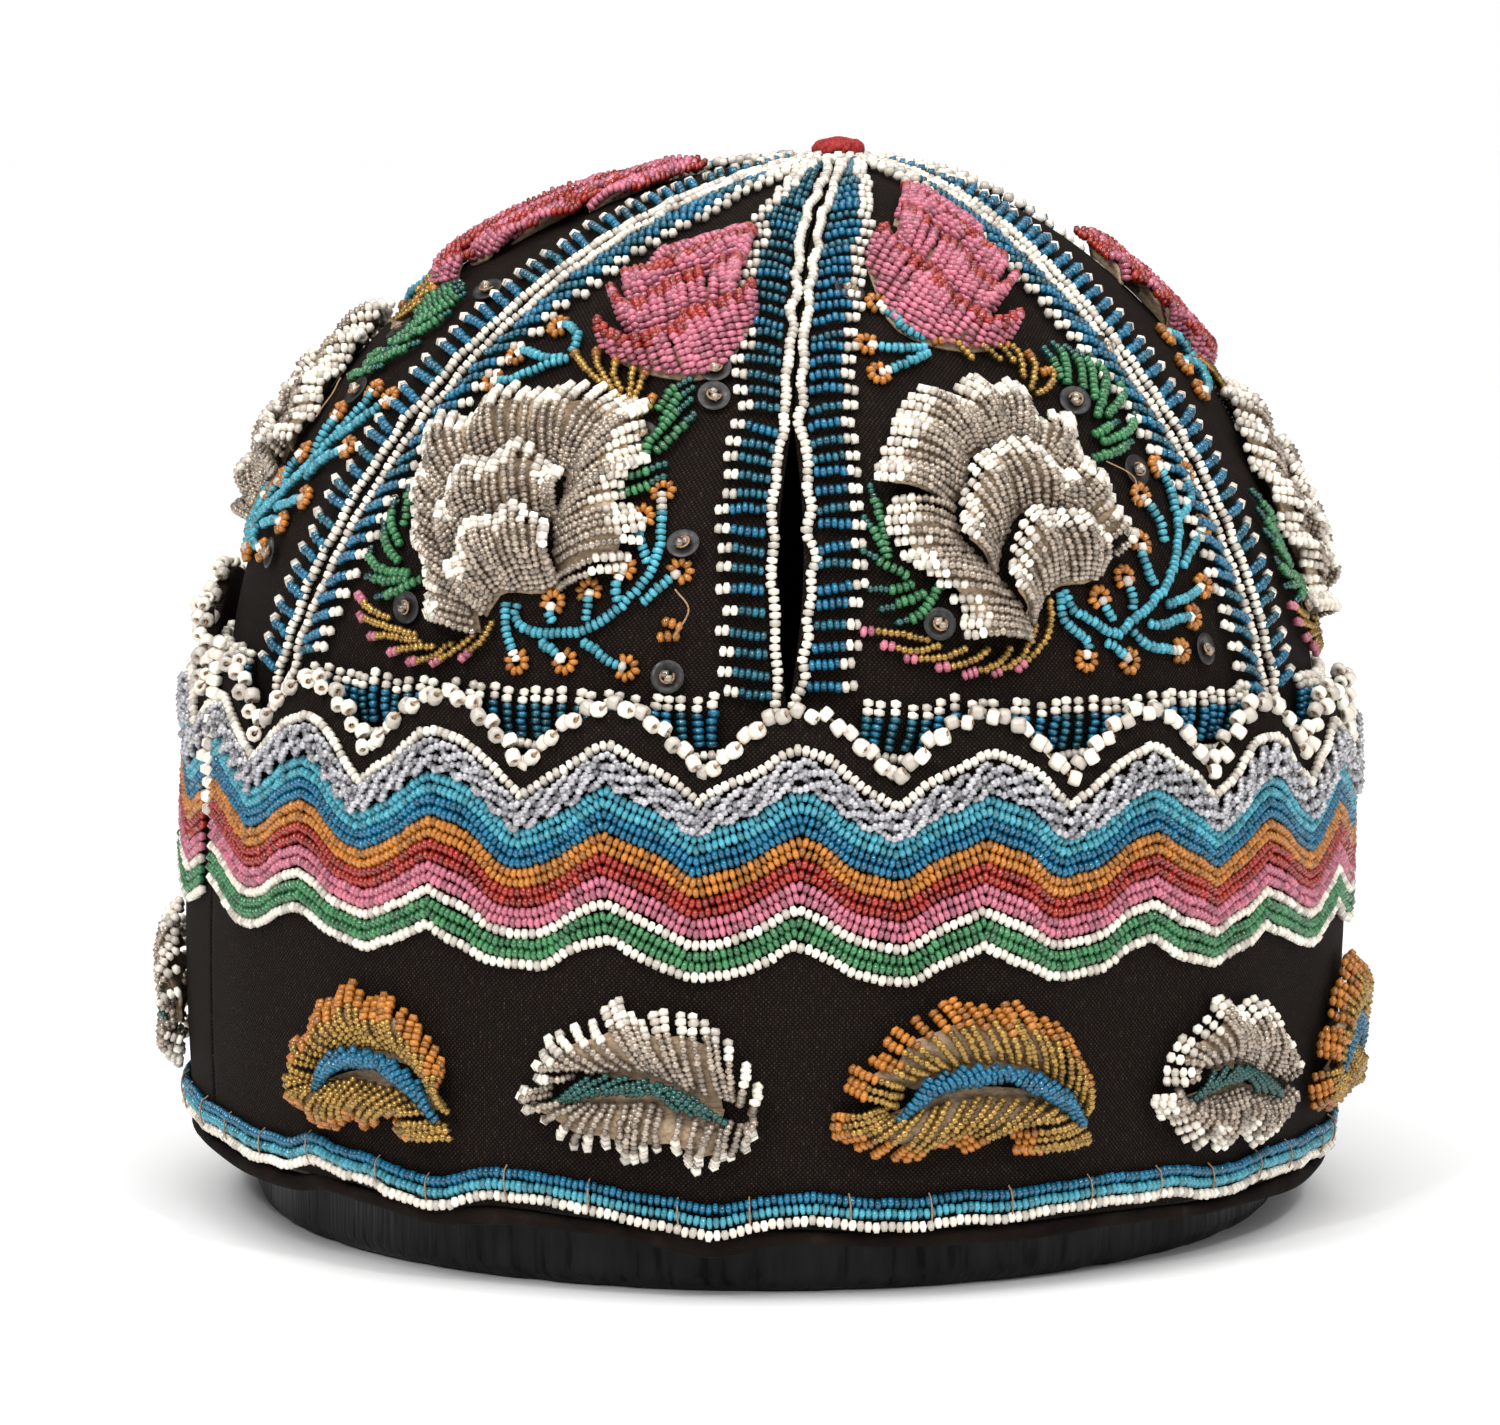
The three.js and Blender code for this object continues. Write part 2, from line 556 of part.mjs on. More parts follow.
for (let index = 0; index < SEAMS.length; index += 1) {
  const kind = index % 2 === 0 ? 'plain' : 'mirrored';
  cap.add(goreMesh(index));
  cap.add(seamBorderMesh(index, -1));
  cap.add(seamBorderMesh(index, 1));
  cap.add(motifMesh(`flower_${index + 1}`, index, FLOWERS[kind], FLOWER_FORM, FLOWER_RISE, 'white'));
  cap.add(motifMesh(`bud_${index + 1}`, index, BUDS[kind], BUD_FORM, BUD_RISE, 'pink'));
}
for (let index = 0; index < LEAVES.length; index += 1) {
  cap.add(leafMesh(index));
}
cap.add(knotMesh());

const part = new THREE.Group();
part.add(blockMesh());
part.add(postMesh(cap.matrix));
part.add(cap);

export default part;
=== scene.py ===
import math

import bpy
import numpy as np
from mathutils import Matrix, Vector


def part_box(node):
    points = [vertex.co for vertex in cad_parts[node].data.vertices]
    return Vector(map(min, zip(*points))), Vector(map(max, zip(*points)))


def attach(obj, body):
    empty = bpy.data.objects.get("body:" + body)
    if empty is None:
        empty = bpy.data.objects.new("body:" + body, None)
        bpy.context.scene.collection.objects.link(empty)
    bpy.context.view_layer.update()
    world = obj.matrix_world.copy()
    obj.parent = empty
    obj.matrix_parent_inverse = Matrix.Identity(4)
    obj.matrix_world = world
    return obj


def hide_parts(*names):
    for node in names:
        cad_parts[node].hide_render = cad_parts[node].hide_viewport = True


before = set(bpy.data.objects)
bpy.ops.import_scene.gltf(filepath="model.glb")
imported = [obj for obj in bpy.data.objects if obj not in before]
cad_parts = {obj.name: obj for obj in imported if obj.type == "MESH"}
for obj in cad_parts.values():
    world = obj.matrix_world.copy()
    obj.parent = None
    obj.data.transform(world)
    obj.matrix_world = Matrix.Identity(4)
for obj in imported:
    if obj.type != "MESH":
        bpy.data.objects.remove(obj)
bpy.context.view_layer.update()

MM = 0.001

# The camera stands in front of the block and a little above the cap's middle, looking down on it
# by six degrees, as the photograph does. The picture's middle lies a little left of the block's.
CAMERA_BACK = 900 * MM
CAMERA_HEIGHT = 170.5 * MM
LOOK_DOWN = 0.103
SENSOR_WIDTH = 36
PICTURE_WIDTH = 1500
FOCAL_PIXELS = 5600
SIDEWAYS_PIXELS = 17

camera_data = bpy.data.cameras.new("camera")
camera_data.sensor_fit = "HORIZONTAL"
camera_data.sensor_width = SENSOR_WIDTH
camera_data.lens = FOCAL_PIXELS * SENSOR_WIDTH / PICTURE_WIDTH
camera_data.shift_x = -SIDEWAYS_PIXELS / PICTURE_WIDTH
camera = bpy.data.objects.new("camera", camera_data)
camera.location = (0, -CAMERA_BACK, CAMERA_HEIGHT)
camera.rotation_euler = (math.pi / 2 - LOOK_DOWN, 0, 0)
bpy.context.scene.collection.objects.link(camera)
bpy.context.scene.camera = camera


# The studio is a white sweep under soft light: a pale floor under an even light from above, a soft
# key light high on the left, a fill on the right and two small lights that make the beads sparkle.
# The backdrop is white where the camera sees it, and lights the cap only faintly.
FLOOR_HALF = 60
OVERHEAD_STRENGTH = 2.86
OVERHEAD_SPREAD = math.radians(80)
OVERHEAD_LEAN = math.radians(10)
FLOOR_COLOUR, FLOOR_ROUGHNESS = (0.97, 0.97, 0.97), 0.8
BACKDROP_STRENGTH = 1.0
AMBIENT_STRENGTH = 0.2
CAP_MIDDLE = (0, 0, 0.09)
# Square soft lights: place and side in metres, and watts.
SOFT_LIGHTS = {
    "key": ((-0.6, -0.75, 0.95), 0.4, 5.0),
    "fill": ((0.8, -0.6, 0.5), 0.6, 1.9),
    "left_spark": ((-0.35, -0.9, 0.55), 0.06, 2.1),
    "right_spark": ((0.4, -0.8, 0.8), 0.06, 2.1),
}


def new_object(name, mesh):
    """Links a mesh to the scene as an object at the origin."""
    made = bpy.data.objects.new(name, mesh)
    bpy.context.scene.collection.objects.link(made)
    return made


def principled(name, color, roughness, **settings):
    """A new material with its Principled shader's sockets set; returns material, tree, shader."""
    material = bpy.data.materials.new(name)
    material.use_nodes = True
    tree = material.node_tree
    shader = tree.nodes["Principled BSDF"]
    shader.inputs["Base Color"].default_value = (*color, 1)
    shader.inputs["Roughness"].default_value = roughness
    for socket, value in settings.items():
        shader.inputs[socket.replace("_", " ")].default_value = value
    return material, tree, shader


def area_light(name, location, size, watts):
    """A square soft light at a place, turned towards the cap's middle."""
    data = bpy.data.lights.new(name, "AREA")
    data.energy = watts
    data.size = size
    light = bpy.data.objects.new(name, data)
    x, y, z = np.array(location) - np.array(CAP_MIDDLE)
    light.location = location
    light.rotation_euler = (math.atan2(math.hypot(x, y), z), 0, math.atan2(y, x) + math.pi / 2)
    bpy.context.scene.collection.objects.link(light)


floor_mesh = bpy.data.meshes.new("floor")
floor_corners = [(x * FLOOR_HALF, y * FLOOR_HALF, 0) for x, y in ((-1, -1), (1, -1), (1, 1), (-1, 1))]
floor_mesh.from_pydata(floor_corners, [], [(0, 1, 2, 3)])
floor_material, _, _ = principled("pale_floor", FLOOR_COLOUR, FLOOR_ROUGHNESS)
floor_mesh.materials.append(floor_material)
new_object("floor", floor_mesh)
world = bpy.data.worlds.new("studio")
world.use_nodes = True
backdrop = world.node_tree.nodes["Background"]
backdrop.inputs["Color"].default_value = (1, 1, 1, 1)
seen = world.node_tree.nodes.new("ShaderNodeLightPath")
strength = world.node_tree.nodes.new("ShaderNodeMapRange")
strength.inputs["To Min"].default_value = AMBIENT_STRENGTH
strength.inputs["To Max"].default_value = BACKDROP_STRENGTH
world.node_tree.links.new(seen.outputs["Is Camera Ray"], strength.inputs["Value"])
world.node_tree.links.new(strength.outputs["Result"], backdrop.inputs["Strength"])
bpy.context.scene.world = world
bpy.context.scene.view_settings.view_transform = "Standard"
overhead_data = bpy.data.lights.new("overhead", "SUN")
overhead_data.energy = OVERHEAD_STRENGTH
overhead_data.angle = OVERHEAD_SPREAD
overhead = bpy.data.objects.new("overhead", overhead_data)
overhead.rotation_euler = (OVERHEAD_LEAN, 0, 0)
bpy.context.scene.collection.objects.link(overhead)
for name, (location, size, watts) in SOFT_LIGHTS.items():
    area_light(name, location, size, watts)


# The block is one low oval turned from wood and painted black. The paint shows the wood's upright
# grain as fine cracks, with three wider joints, and its lower edge is a little worn.
BLOCK_LEAST, BLOCK_MOST = (np.array(corner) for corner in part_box("stand_block"))
BLOCK_SECTIONS = {
    "share": [0.0, 0.97, 0.985, 1.0, 1.0, 0.995, 0.985, 0.96, 0.0],
    "level": [0.0, 0.0, 0.02, 0.06, 0.3, 0.55, 0.94, 1.0, 1.0],
}
CRACK_DEPTH, WEAR_DEPTH = 0.35 * MM, 0.35 * MM
JOINT_AZIMUTHS, JOINT_WIDTH = (-0.62, 1.1, 2.9), 0.008
BLOCK_COLUMNS, BLOCK_ROWS = 520, 14


def grid_faces(columns, rows, wrap_columns=False, wrap_rows=False):
    """Faces of a grid of points[column, row]: each cell is one face, and a wrapped side also
    joins its last line of points to its first."""
    i, j = np.meshgrid(
        np.arange(columns - (not wrap_columns)), np.arange(rows - (not wrap_rows)), indexing="ij"
    )
    right, above = (i + 1) % columns, (j + 1) % rows
    faces = np.stack([i * rows + j, right * rows + j, right * rows + above, i * rows + above], -1)
    return faces.reshape(-1, 4)


def join_mesh(name, parts):
    """One mesh of several parts. Each part is its points and its faces of four corners, and a
    part's faces count on from the points of the parts before it."""
    points = [part[0].reshape(-1, 3) for part in parts]
    starts = np.cumsum([0] + [len(part) for part in points[:-1]])
    mesh = bpy.data.meshes.new(name)
    fill_mesh(mesh, np.concatenate(points),
              np.concatenate([part[1] + start for part, start in zip(parts, starts)]))
    return mesh


def fill_mesh(mesh, vertices, *face_groups):
    """Puts vertices and faces into a mesh, all smooth. Each group holds faces of one size."""
    sizes = np.concatenate([np.full(len(group), group.shape[1]) for group in face_groups])
    loops = np.concatenate([group.reshape(-1) for group in face_groups])
    mesh.vertices.add(len(vertices))
    mesh.vertices.foreach_set("co", np.ascontiguousarray(vertices, np.float32).reshape(-1))
    mesh.loops.add(len(loops))
    mesh.loops.foreach_set("vertex_index", loops.astype(np.int32))
    mesh.polygons.add(len(sizes))
    mesh.polygons.foreach_set("loop_start", (np.cumsum(sizes) - sizes).astype(np.int32))
    mesh.polygons.foreach_set("use_smooth", np.ones(len(sizes), bool))
    mesh.update(calc_edges=True)
    mesh.validate()


def ridges(angle, seed, count, lowest, highest):
    """Random ridges round a ring: a sum of cosines of whole-number frequencies."""
    chance = np.random.default_rng(seed)
    total = np.zeros_like(angle)
    for _ in range(count):
        total += np.cos(chance.integers(lowest, highest) * angle + chance.uniform(0, 2 * math.pi))
    return total / math.sqrt(count)


def block_points(columns, rows):
    """The block: each level is an oval of the frame's size, drawn in by the section table and cut
    by narrow upright cracks whose depth fades towards the top and the foot."""
    angle = np.linspace(0, 2 * math.pi, columns, endpoint=False)[:, None]
    along = np.linspace(0, len(BLOCK_SECTIONS["share"]) - 1, rows)[None, :]
    knots = np.arange(len(BLOCK_SECTIONS["share"]))
    share = np.interp(along, knots, BLOCK_SECTIONS["share"])
    level = np.interp(along, knots, BLOCK_SECTIONS["level"])
    crack = np.clip(np.abs(ridges(angle, 5, 60, 90, 340)) - 1.9, 0, 1.2)
    joints = sum(np.exp(-((((angle - place + math.pi) % (2 * math.pi)) - math.pi) / JOINT_WIDTH) ** 2)
                 for place in JOINT_AZIMUTHS)
    worn = np.clip(ridges(angle, 6, 20, 3, 60), 0, 2) * np.exp(-level * 14) * WEAR_DEPTH
    side = np.clip(np.sin(np.clip(level, 0, 1) * math.pi), 0, 1) ** 0.4 * (share > 0.9)
    cut = CRACK_DEPTH * side * (crack * 0.8 + 1.6 * joints) + worn * (share > 0.9)
    half = (BLOCK_MOST - BLOCK_LEAST) / 2
    middle = (BLOCK_MOST + BLOCK_LEAST) / 2
    x = middle[0] + (half[0] * share - cut) * np.sin(angle)
    y = middle[1] - (half[1] * share - cut) * np.cos(angle)
    z = BLOCK_LEAST[2] + 2 * half[2] * level + 0 * angle
    return np.stack([x, y, z], -1)


def link_noise(tree, scale, detail, source, stretch=(1, 1, 1)):
    """A noise texture on stretched coordinates; returns its value socket."""
    mapping = tree.nodes.new("ShaderNodeMapping")
    mapping.inputs["Scale"].default_value = stretch
    noise = tree.nodes.new("ShaderNodeTexNoise")
    noise.inputs["Scale"].default_value = scale
    noise.inputs["Detail"].default_value = detail
    tree.links.new(source, mapping.inputs["Vector"])
    tree.links.new(mapping.outputs["Vector"], noise.inputs["Vector"])
    return noise.outputs["Fac"]


def ramp(tree, source, stops):
    """A colour ramp over a value; stops are pairs of place and colour or grey level."""
    node = tree.nodes.new("ShaderNodeValToRGB")
    elements = node.color_ramp.elements
    while len(elements) < len(stops):
        elements.new(0.5)
    for element, (place, color) in zip(elements, stops):
        element.position = place
        element.color = (*color, 1) if isinstance(color, tuple) else (color, color, color, 1)
    tree.links.new(source, node.inputs["Fac"])
    return node.outputs["Color"]


def bump(tree, shader, height, distance, strength=1.0):
    """Feeds a height, times a distance in metres, to a shader's normal."""
    node = tree.nodes.new("ShaderNodeBump")
    node.inputs["Distance"].default_value = distance
    node.inputs["Strength"].default_value = strength
    tree.links.new(height, node.inputs["Height"])
    tree.links.new(node.outputs["Normal"], shader.inputs["Normal"])


def object_coordinates(tree):
    """The place on the object, in metres, as a vector socket."""
    return tree.nodes.new("ShaderNodeTexCoord").outputs["Object"]


def black_paint(name):
    """Satin black paint over wood: upright grain from noise stretched along Z, and grey rubbing."""
    material, tree, shader = principled(name, (0.009, 0.009, 0.010), 0.5)
    shader.inputs["Specular IOR Level"].default_value = 0.12
    where = object_coordinates(tree)
    grain = link_noise(tree, 900, 6, where, (1, 1, 0.05))
    rubbing = link_noise(tree, 60, 8, where, (1, 1, 0.35))
    checks = link_noise(tree, 620, 3, where, (1, 1, 0.14))
    color = ramp(tree, checks, [(0.34, (0.001, 0.001, 0.001)), (0.42, (0.008, 0.008, 0.008)),
                                (0.75, (0.016, 0.015, 0.015))])
    tree.links.new(color, shader.inputs["Base Color"])
    tree.links.new(ramp(tree, rubbing, [(0.3, 0.36), (0.7, 0.72)]), shader.inputs["Roughness"])
    bump(tree, shader, grain, 0.45 * MM, 0.9)
    return material


block_part = (block_points(BLOCK_COLUMNS, BLOCK_ROWS),
              grid_faces(BLOCK_COLUMNS, BLOCK_ROWS, wrap_columns=True))
block = new_object("wooden_block", join_mesh("wooden_block", [block_part]))
block.data.materials.append(black_paint("black_paint"))
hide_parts("stand_block")
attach(block, "root")
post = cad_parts["stand_post"]
post.data.materials.clear()
post.data.materials.append(black_paint("black_post_paint"))


# The crown is sewn from six gores of dark, closely woven cloth, 1.8 mm thick with its padding. The
# gores meet in plain seams, and the front seam has come open for a short way above the band.
CAP_TILT = math.radians(1.5)
CAP_SHIFT = -1.5 * MM
CROWN_RADIUS = 87.1 * MM
CROWN_HEIGHT = 87.1 * MM
DEPTH_RATIO = 1.03
CROWN_WALL = 1.8 * MM
SKIRT_DEPTH = 9 * MM
PEAK_LEAN = 7.6 * MM
PEAK_LEAN_POWER = 7
RIM_HEIGHT = 9.5 * MM
BAND_HEIGHT = 79 * MM
BAND_RADIUS = CROWN_RADIUS + 6.2 * MM
BAND_RIM_TUCK = 2 * MM
BAND_TOP_TUCK = 1.4 * MM
BAND_WALL = 2 * MM
SEAT_GAP = 0.3 * MM
CROWN_BASE = RIM_HEIGHT + 0.88 * BAND_HEIGHT
CROWN_ARC = CROWN_RADIUS * math.pi / 2
GORE_TIP_ARC = 1.95 * MM
BAND_MIDDLE = RIM_HEIGHT + BAND_HEIGHT / 2
# Crown seams: degrees of azimuth at the crown's base, and their drift on the way to the peak.
SEAM_AZIMUTHS = np.radians([-60, 1.5, 62, 121, 180, 239])
SEAM_DRIFTS = np.radians([33, 0, -20, -6, 0, 12])
GORE_COUNT = SEAM_AZIMUTHS.size
FRONT_SEAM = 1
SLIT_WIDTH = 3.6 * MM
CLOTH_COLOR = (0.0165, 0.0103, 0.0073)


def tilted(points):
    """The cap's own frame turned by its tilt about Y and shifted sideways on the block."""
    x, y, z = points[..., 0], points[..., 1], points[..., 2]
    cosine, sine = math.cos(CAP_TILT), math.sin(CAP_TILT)
    return np.stack([x * cosine + z * sine + CAP_SHIFT, y, z * cosine - x * sine], -1)


def band_radius(level):
    """The band's fullest radius, less a parabola below and a shallower one above its middle."""
    away = (level - BAND_MIDDLE) / (BAND_HEIGHT / 2)
    return BAND_RADIUS - np.where(away < 0, BAND_RIM_TUCK, BAND_TOP_TUCK) * away ** 2


def on_band(azimuth, level, out):
    """A point of the band: an oval of the radius at that level, plus a distance off the cloth."""
    azimuth, level, out = np.broadcast_arrays(azimuth, level, out)
    radius = band_radius(level) + out
    x, y = radius * np.sin(azimuth), -DEPTH_RATIO * radius * np.cos(azimuth)
    return tilted(np.stack([x, y, level], -1))


def crown_radius(arc):
    """Level radius of the crown at an arc length down from its peak."""
    return CROWN_RADIUS * np.sin(np.minimum(arc / CROWN_RADIUS, math.pi / 2))


def on_crown(azimuth, arc, out):
    """A point of the crown: a quarter ellipse turned round Z, with a flared skirt below it. The
    peak leans to the right by a high power of the height. out is measured along the normal."""
    azimuth, arc, out = np.broadcast_arrays(azimuth, arc, out)
    angle = np.minimum(arc / CROWN_RADIUS, math.pi / 2)
    skirt = np.maximum(arc - CROWN_ARC, 0)
    skirt_radius = band_radius(CROWN_BASE - SKIRT_DEPTH) - BAND_WALL - SEAT_GAP
    across, up = CROWN_HEIGHT * np.sin(angle), CROWN_RADIUS * np.cos(angle)
    length = np.hypot(across, up)
    flare = (skirt_radius - CROWN_RADIUS) * skirt / SKIRT_DEPTH
    radius = CROWN_RADIUS * np.sin(angle) + flare + out * across / length
    rise = CROWN_HEIGHT * np.cos(angle) + out * up / length
    lean = PEAK_LEAN * (np.maximum(rise, 0) / CROWN_HEIGHT) ** PEAK_LEAN_POWER
    x = radius * np.sin(azimuth) + lean
    return tilted(np.stack([x, -DEPTH_RATIO * radius * np.cos(azimuth), CROWN_BASE + rise - skirt], -1))


def seam_azimuth(index, arc):
    """Azimuth of a seam: its place at the base plus its drift, in proportion to the way up."""
    turns = index // GORE_COUNT
    place = index % GORE_COUNT
    up = 1 - np.minimum(arc / CROWN_ARC, 1)
    return SEAM_AZIMUTHS[place] + 2 * math.pi * turns + SEAM_DRIFTS[place] * up


def seam_opening(index, arc):
    """Half the gap at a seam: the sewing gap, and half a sine bulge where the front is open."""
    parted = np.sin(math.pi * np.clip((arc / CROWN_ARC - 0.62) / 0.32, 0, 1))
    slit = SLIT_WIDTH if index % GORE_COUNT == FRONT_SEAM else 0
    return (SEAT_GAP + slit * parted) / 2


def wall_part(front, back):
    """A closed wall. Each column of points runs up the front and down the back, and two rows of
    faces close the first and the last column."""
    columns, rows = front.shape[:2]
    count = 2 * rows
    k = np.arange(rows - 1)
    first = np.stack([k, k + 1, count - 2 - k, count - 1 - k], -1)
    last = (first + (columns - 1) * count)[:, ::-1]
    sides = grid_faces(columns, count, wrap_rows=True)
    return np.concatenate([front, back[:, ::-1]], axis=1), np.concatenate([sides, first, last])


def cloth_wall(name, front, back, weave):
    """A wall of cloth whose points also hold their place on the cloth, in thread widths."""
    mesh = join_mesh(name, [wall_part(front, back)])
    thread = np.concatenate([weave, weave[:, ::-1]], axis=1)
    layer = mesh.attributes.new("weave", "FLOAT_VECTOR", "POINT")
    layer.data.foreach_set("vector", thread.reshape(-1).astype(np.float32))
    return mesh


def weave_group():
    """Plain weave of two sets of threads. The height is the product of a sine across each set
    where that is above 0, which is where one set lies on top. Lint is stretched noise."""
    group = bpy.data.node_groups.new("plain_weave", "ShaderNodeTree")
    group.interface.new_socket("Threads", in_out="INPUT", socket_type="NodeSocketVector")
    group.interface.new_socket("Height", in_out="OUTPUT", socket_type="NodeSocketFloat")
    group.interface.new_socket("Lint", in_out="OUTPUT", socket_type="NodeSocketFloat")
    source = group.nodes.new("NodeGroupInput")
    target = group.nodes.new("NodeGroupOutput")
    split = group.nodes.new("ShaderNodeSeparateXYZ")
    group.links.new(source.outputs["Threads"], split.inputs["Vector"])

    def math_node(operation, *values):
        node = group.nodes.new("ShaderNodeMath")
        node.operation = operation
        for socket, value in zip(node.inputs, values):
            if isinstance(value, (int, float)):
                socket.default_value = value
            else:
                group.links.new(value, socket)
        return node.outputs["Value"]

    across = math_node("SINE", math_node("MULTIPLY", split.outputs["X"], math.pi))
    along = math_node("SINE", math_node("MULTIPLY", split.outputs["Y"], math.pi))
    over = math_node("MULTIPLY", across, along)
    crossing = math_node("ABSOLUTE", over)
    height = math_node("ADD", math_node("MULTIPLY", over, 0.5), math_node("MULTIPLY", crossing, 0.5))
    group.links.new(height, target.inputs["Height"])
    lint = link_noise(group, 0.9, 8, source.outputs["Threads"], (1, 0.25, 1))
    group.links.new(lint, target.inputs["Lint"])
    return group


# A Mix node repeats the names of its sockets, so those for colours are known by number.
MIX_FACTOR, MIX_FIRST, MIX_SECOND, MIX_RESULT = 0, 6, 7, 2


def cloth_material(name, color, group):
    """Dark cotton: the weave's height goes to bump, and also to the colour as painted shade in its hollows and
    painted light on its crossings; lint greys the threads and dulls them.
    """
    material, tree, shader = principled(name, color, 0.9)
    shader.inputs["Specular IOR Level"].default_value = 0.1
    attribute = tree.nodes.new("ShaderNodeAttribute")
    attribute.attribute_name = "weave"
    weave = tree.nodes.new("ShaderNodeGroup")
    weave.node_tree = group
    tree.links.new(attribute.outputs["Vector"], weave.inputs["Threads"])
    # Painted shade and light: the colour is darkest where the weave's height is lowest, between the threads, and
    # lightest on their crossings.
    weave_shade_and_light = tree.nodes.new("ShaderNodeMix")
    weave_shade_and_light.data_type = "RGBA"
    weave_shade_and_light.inputs[MIX_FIRST].default_value = (*(0.35 * share for share in color), 1)
    weave_shade_and_light.inputs[MIX_SECOND].default_value = (*(2.7 * share for share in color), 1)
    tree.links.new(weave.outputs["Height"], weave_shade_and_light.inputs[MIX_FACTOR])
    lint = ramp(tree, weave.outputs["Lint"], [(0.42, 0.55), (0.6, 1.0), (0.74, 2.6)])
    tinted = tree.nodes.new("ShaderNodeMix")
    tinted.data_type = "RGBA"
    tinted.blend_type = "MULTIPLY"
    tinted.inputs[MIX_FACTOR].default_value = 1
    tree.links.new(weave_shade_and_light.outputs[MIX_RESULT], tinted.inputs[MIX_FIRST])
    tree.links.new(lint, tinted.inputs[MIX_SECOND])
    tree.links.new(tinted.outputs[MIX_RESULT], shader.inputs["Base Color"])
    dullness = ramp(tree, weave.outputs["Lint"], [(0.3, 0.8), (0.7, 1.0)])
    tree.links.new(dullness, shader.inputs["Roughness"])
    bump(tree, shader, weave.outputs["Height"], 0.18 * MM, 0.9)
    return material


THREAD_PITCH = 0.36 * MM
PUCKER_DEPTH = 0.35 * MM
GORE_COLUMNS, GORE_ROWS = 26, 46
plain_weave = weave_group()
cloth = cloth_material("dark_cloth", CLOTH_COLOR, plain_weave)


def gore_grids(index, columns, rows):
    """Azimuth and arc of a gore's grid: even shares between its two seams, from the skirt up."""
    up = np.linspace(0, 1, rows)[None, :]
    share = np.linspace(0, 1, columns)[:, None]
    arc = CROWN_ARC + SKIRT_DEPTH + (GORE_TIP_ARC - CROWN_ARC - SKIRT_DEPTH) * up
    left = seam_azimuth(index, arc) + seam_opening(index, arc) / crown_radius(arc)
    right = seam_azimuth(index + 1, arc) - seam_opening(index + 1, arc) / crown_radius(arc)
    return left + (right - left) * share, arc + 0 * share


def cut_size(points):
    """Width, length and area that a sheet was cut to, from its grid of points: the widest row,
    the longest column, and the rows' widths times the columns' steps, all laid flat."""
    steps = np.linalg.norm(np.diff(points, axis=1), axis=-1)
    widths = np.linalg.norm(np.diff(points, axis=0), axis=-1).sum(axis=0)
    area = ((widths[1:] + widths[:-1]) / 2 * steps.mean(axis=0)).sum()
    return float(widths.max()), float(steps.sum(axis=1).max()), float(area)


for gore in range(GORE_COUNT):
    azimuths, arcs = gore_grids(gore, GORE_COLUMNS, GORE_ROWS)
    ends = np.sin(math.pi * np.linspace(0, 1, GORE_COLUMNS))[:, None]
    pucker = PUCKER_DEPTH * (ends ** 0.35 - 1) * np.clip((arcs - 10 * MM) / (20 * MM), 0, 1)
    outer = on_crown(azimuths, arcs, pucker)
    inner = on_crown(azimuths, arcs, -CROWN_WALL)
    middle = azimuths.mean(axis=0)
    threads = np.stack([(azimuths - middle) * crown_radius(arcs), arcs, 0 * arcs], -1) / THREAD_PITCH
    name = f"crown_cloth_{gore + 1}"
    panel = new_object(name, cloth_wall(name, outer, inner, threads))
    panel.data.materials.append(cloth)
    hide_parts(f"crown_gore_{gore + 1}")
    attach(panel, "root")
    width, length, area = cut_size((outer + inner) / 2)


# The standing band is two strips of the same cloth with a scalloped top. They meet at the right, and
# at the left in an open seam with turned edges, and stand clear of the crown.
BAND_TOP = RIM_HEIGHT + BAND_HEIGHT
HEM_DEPTH = 2.3 * MM
BAND_FOOT = RIM_HEIGHT + HEM_DEPTH + SEAT_GAP
SCALLOP_COUNT = 21
SCALLOP_DEPTH = 9.6 * MM
SCALLOP_DROP = 2 * MM
WAVE_OFFSET = math.radians(2.7)
BAND_SEAM_SLOT = 1.2 * MM
BAND_BARE_STRIP = 1.6 * MM
SEAM_HALF = BAND_SEAM_SLOT / 2 / BAND_RADIUS
# Azimuths of the left seam, the right seam, and the left seam again after a full turn.
LEFT_SEAM, RIGHT_SEAM, LEFT_SEAM_AGAIN = (math.radians(degrees) for degrees in (-68, 112, 292))
STRIPS = {
    "front": (LEFT_SEAM + SEAM_HALF, RIGHT_SEAM - SEAM_HALF),
    "back": (RIGHT_SEAM + SEAM_HALF, LEFT_SEAM_AGAIN - SEAM_HALF),
}
STRIP_COLUMNS, STRIP_ROWS = 260, 12
STRIP_SAG = 0.25 * MM
# Extra height of the scallops round the cap, as a share of the band's height.
RISE_AZIMUTHS = np.radians([-68, 0, 112, 165, 215, 260, 292])
RISE_SHARES = [0, 0, -0.01, 0.06, 0.13, 0.14, 0.03]


def smooth_steps(azimuth, places, values):
    """Values at places round the cap, joined smoothly: between two places the value goes by
    three squares less two cubes of the share of the way from one to the other."""
    around = (np.asarray(azimuth, float) - places[0]) % (2 * math.pi) + places[0]
    i = np.clip(np.searchsorted(places, around, "right") - 1, 0, len(places) - 2)
    share = np.clip((around - places[i]) / (places[i + 1] - places[i]), 0, 1)
    return values[i] + (values[i + 1] - values[i]) * share * share * (3 - 2 * share)


def rise_at(azimuth):
    """How far the scallops rise above the plain band: the rise table in smooth steps."""
    return smooth_steps(azimuth, RISE_AZIMUTHS, BAND_HEIGHT * np.array(RISE_SHARES))


def wave(azimuth, power):
    """1 at the peak of each scallop and 0 in its valleys: a power of a rectified cosine."""
    return np.abs(np.cos((azimuth - WAVE_OFFSET) * SCALLOP_COUNT / 2)) ** power


def band_top(azimuth):
    """Level of the scalloped edge: the wave hangs below the band's top, plus the rise."""
    return BAND_TOP - SCALLOP_DROP - SCALLOP_DEPTH * (1 - wave(azimuth, 1.0)) + rise_at(azimuth)


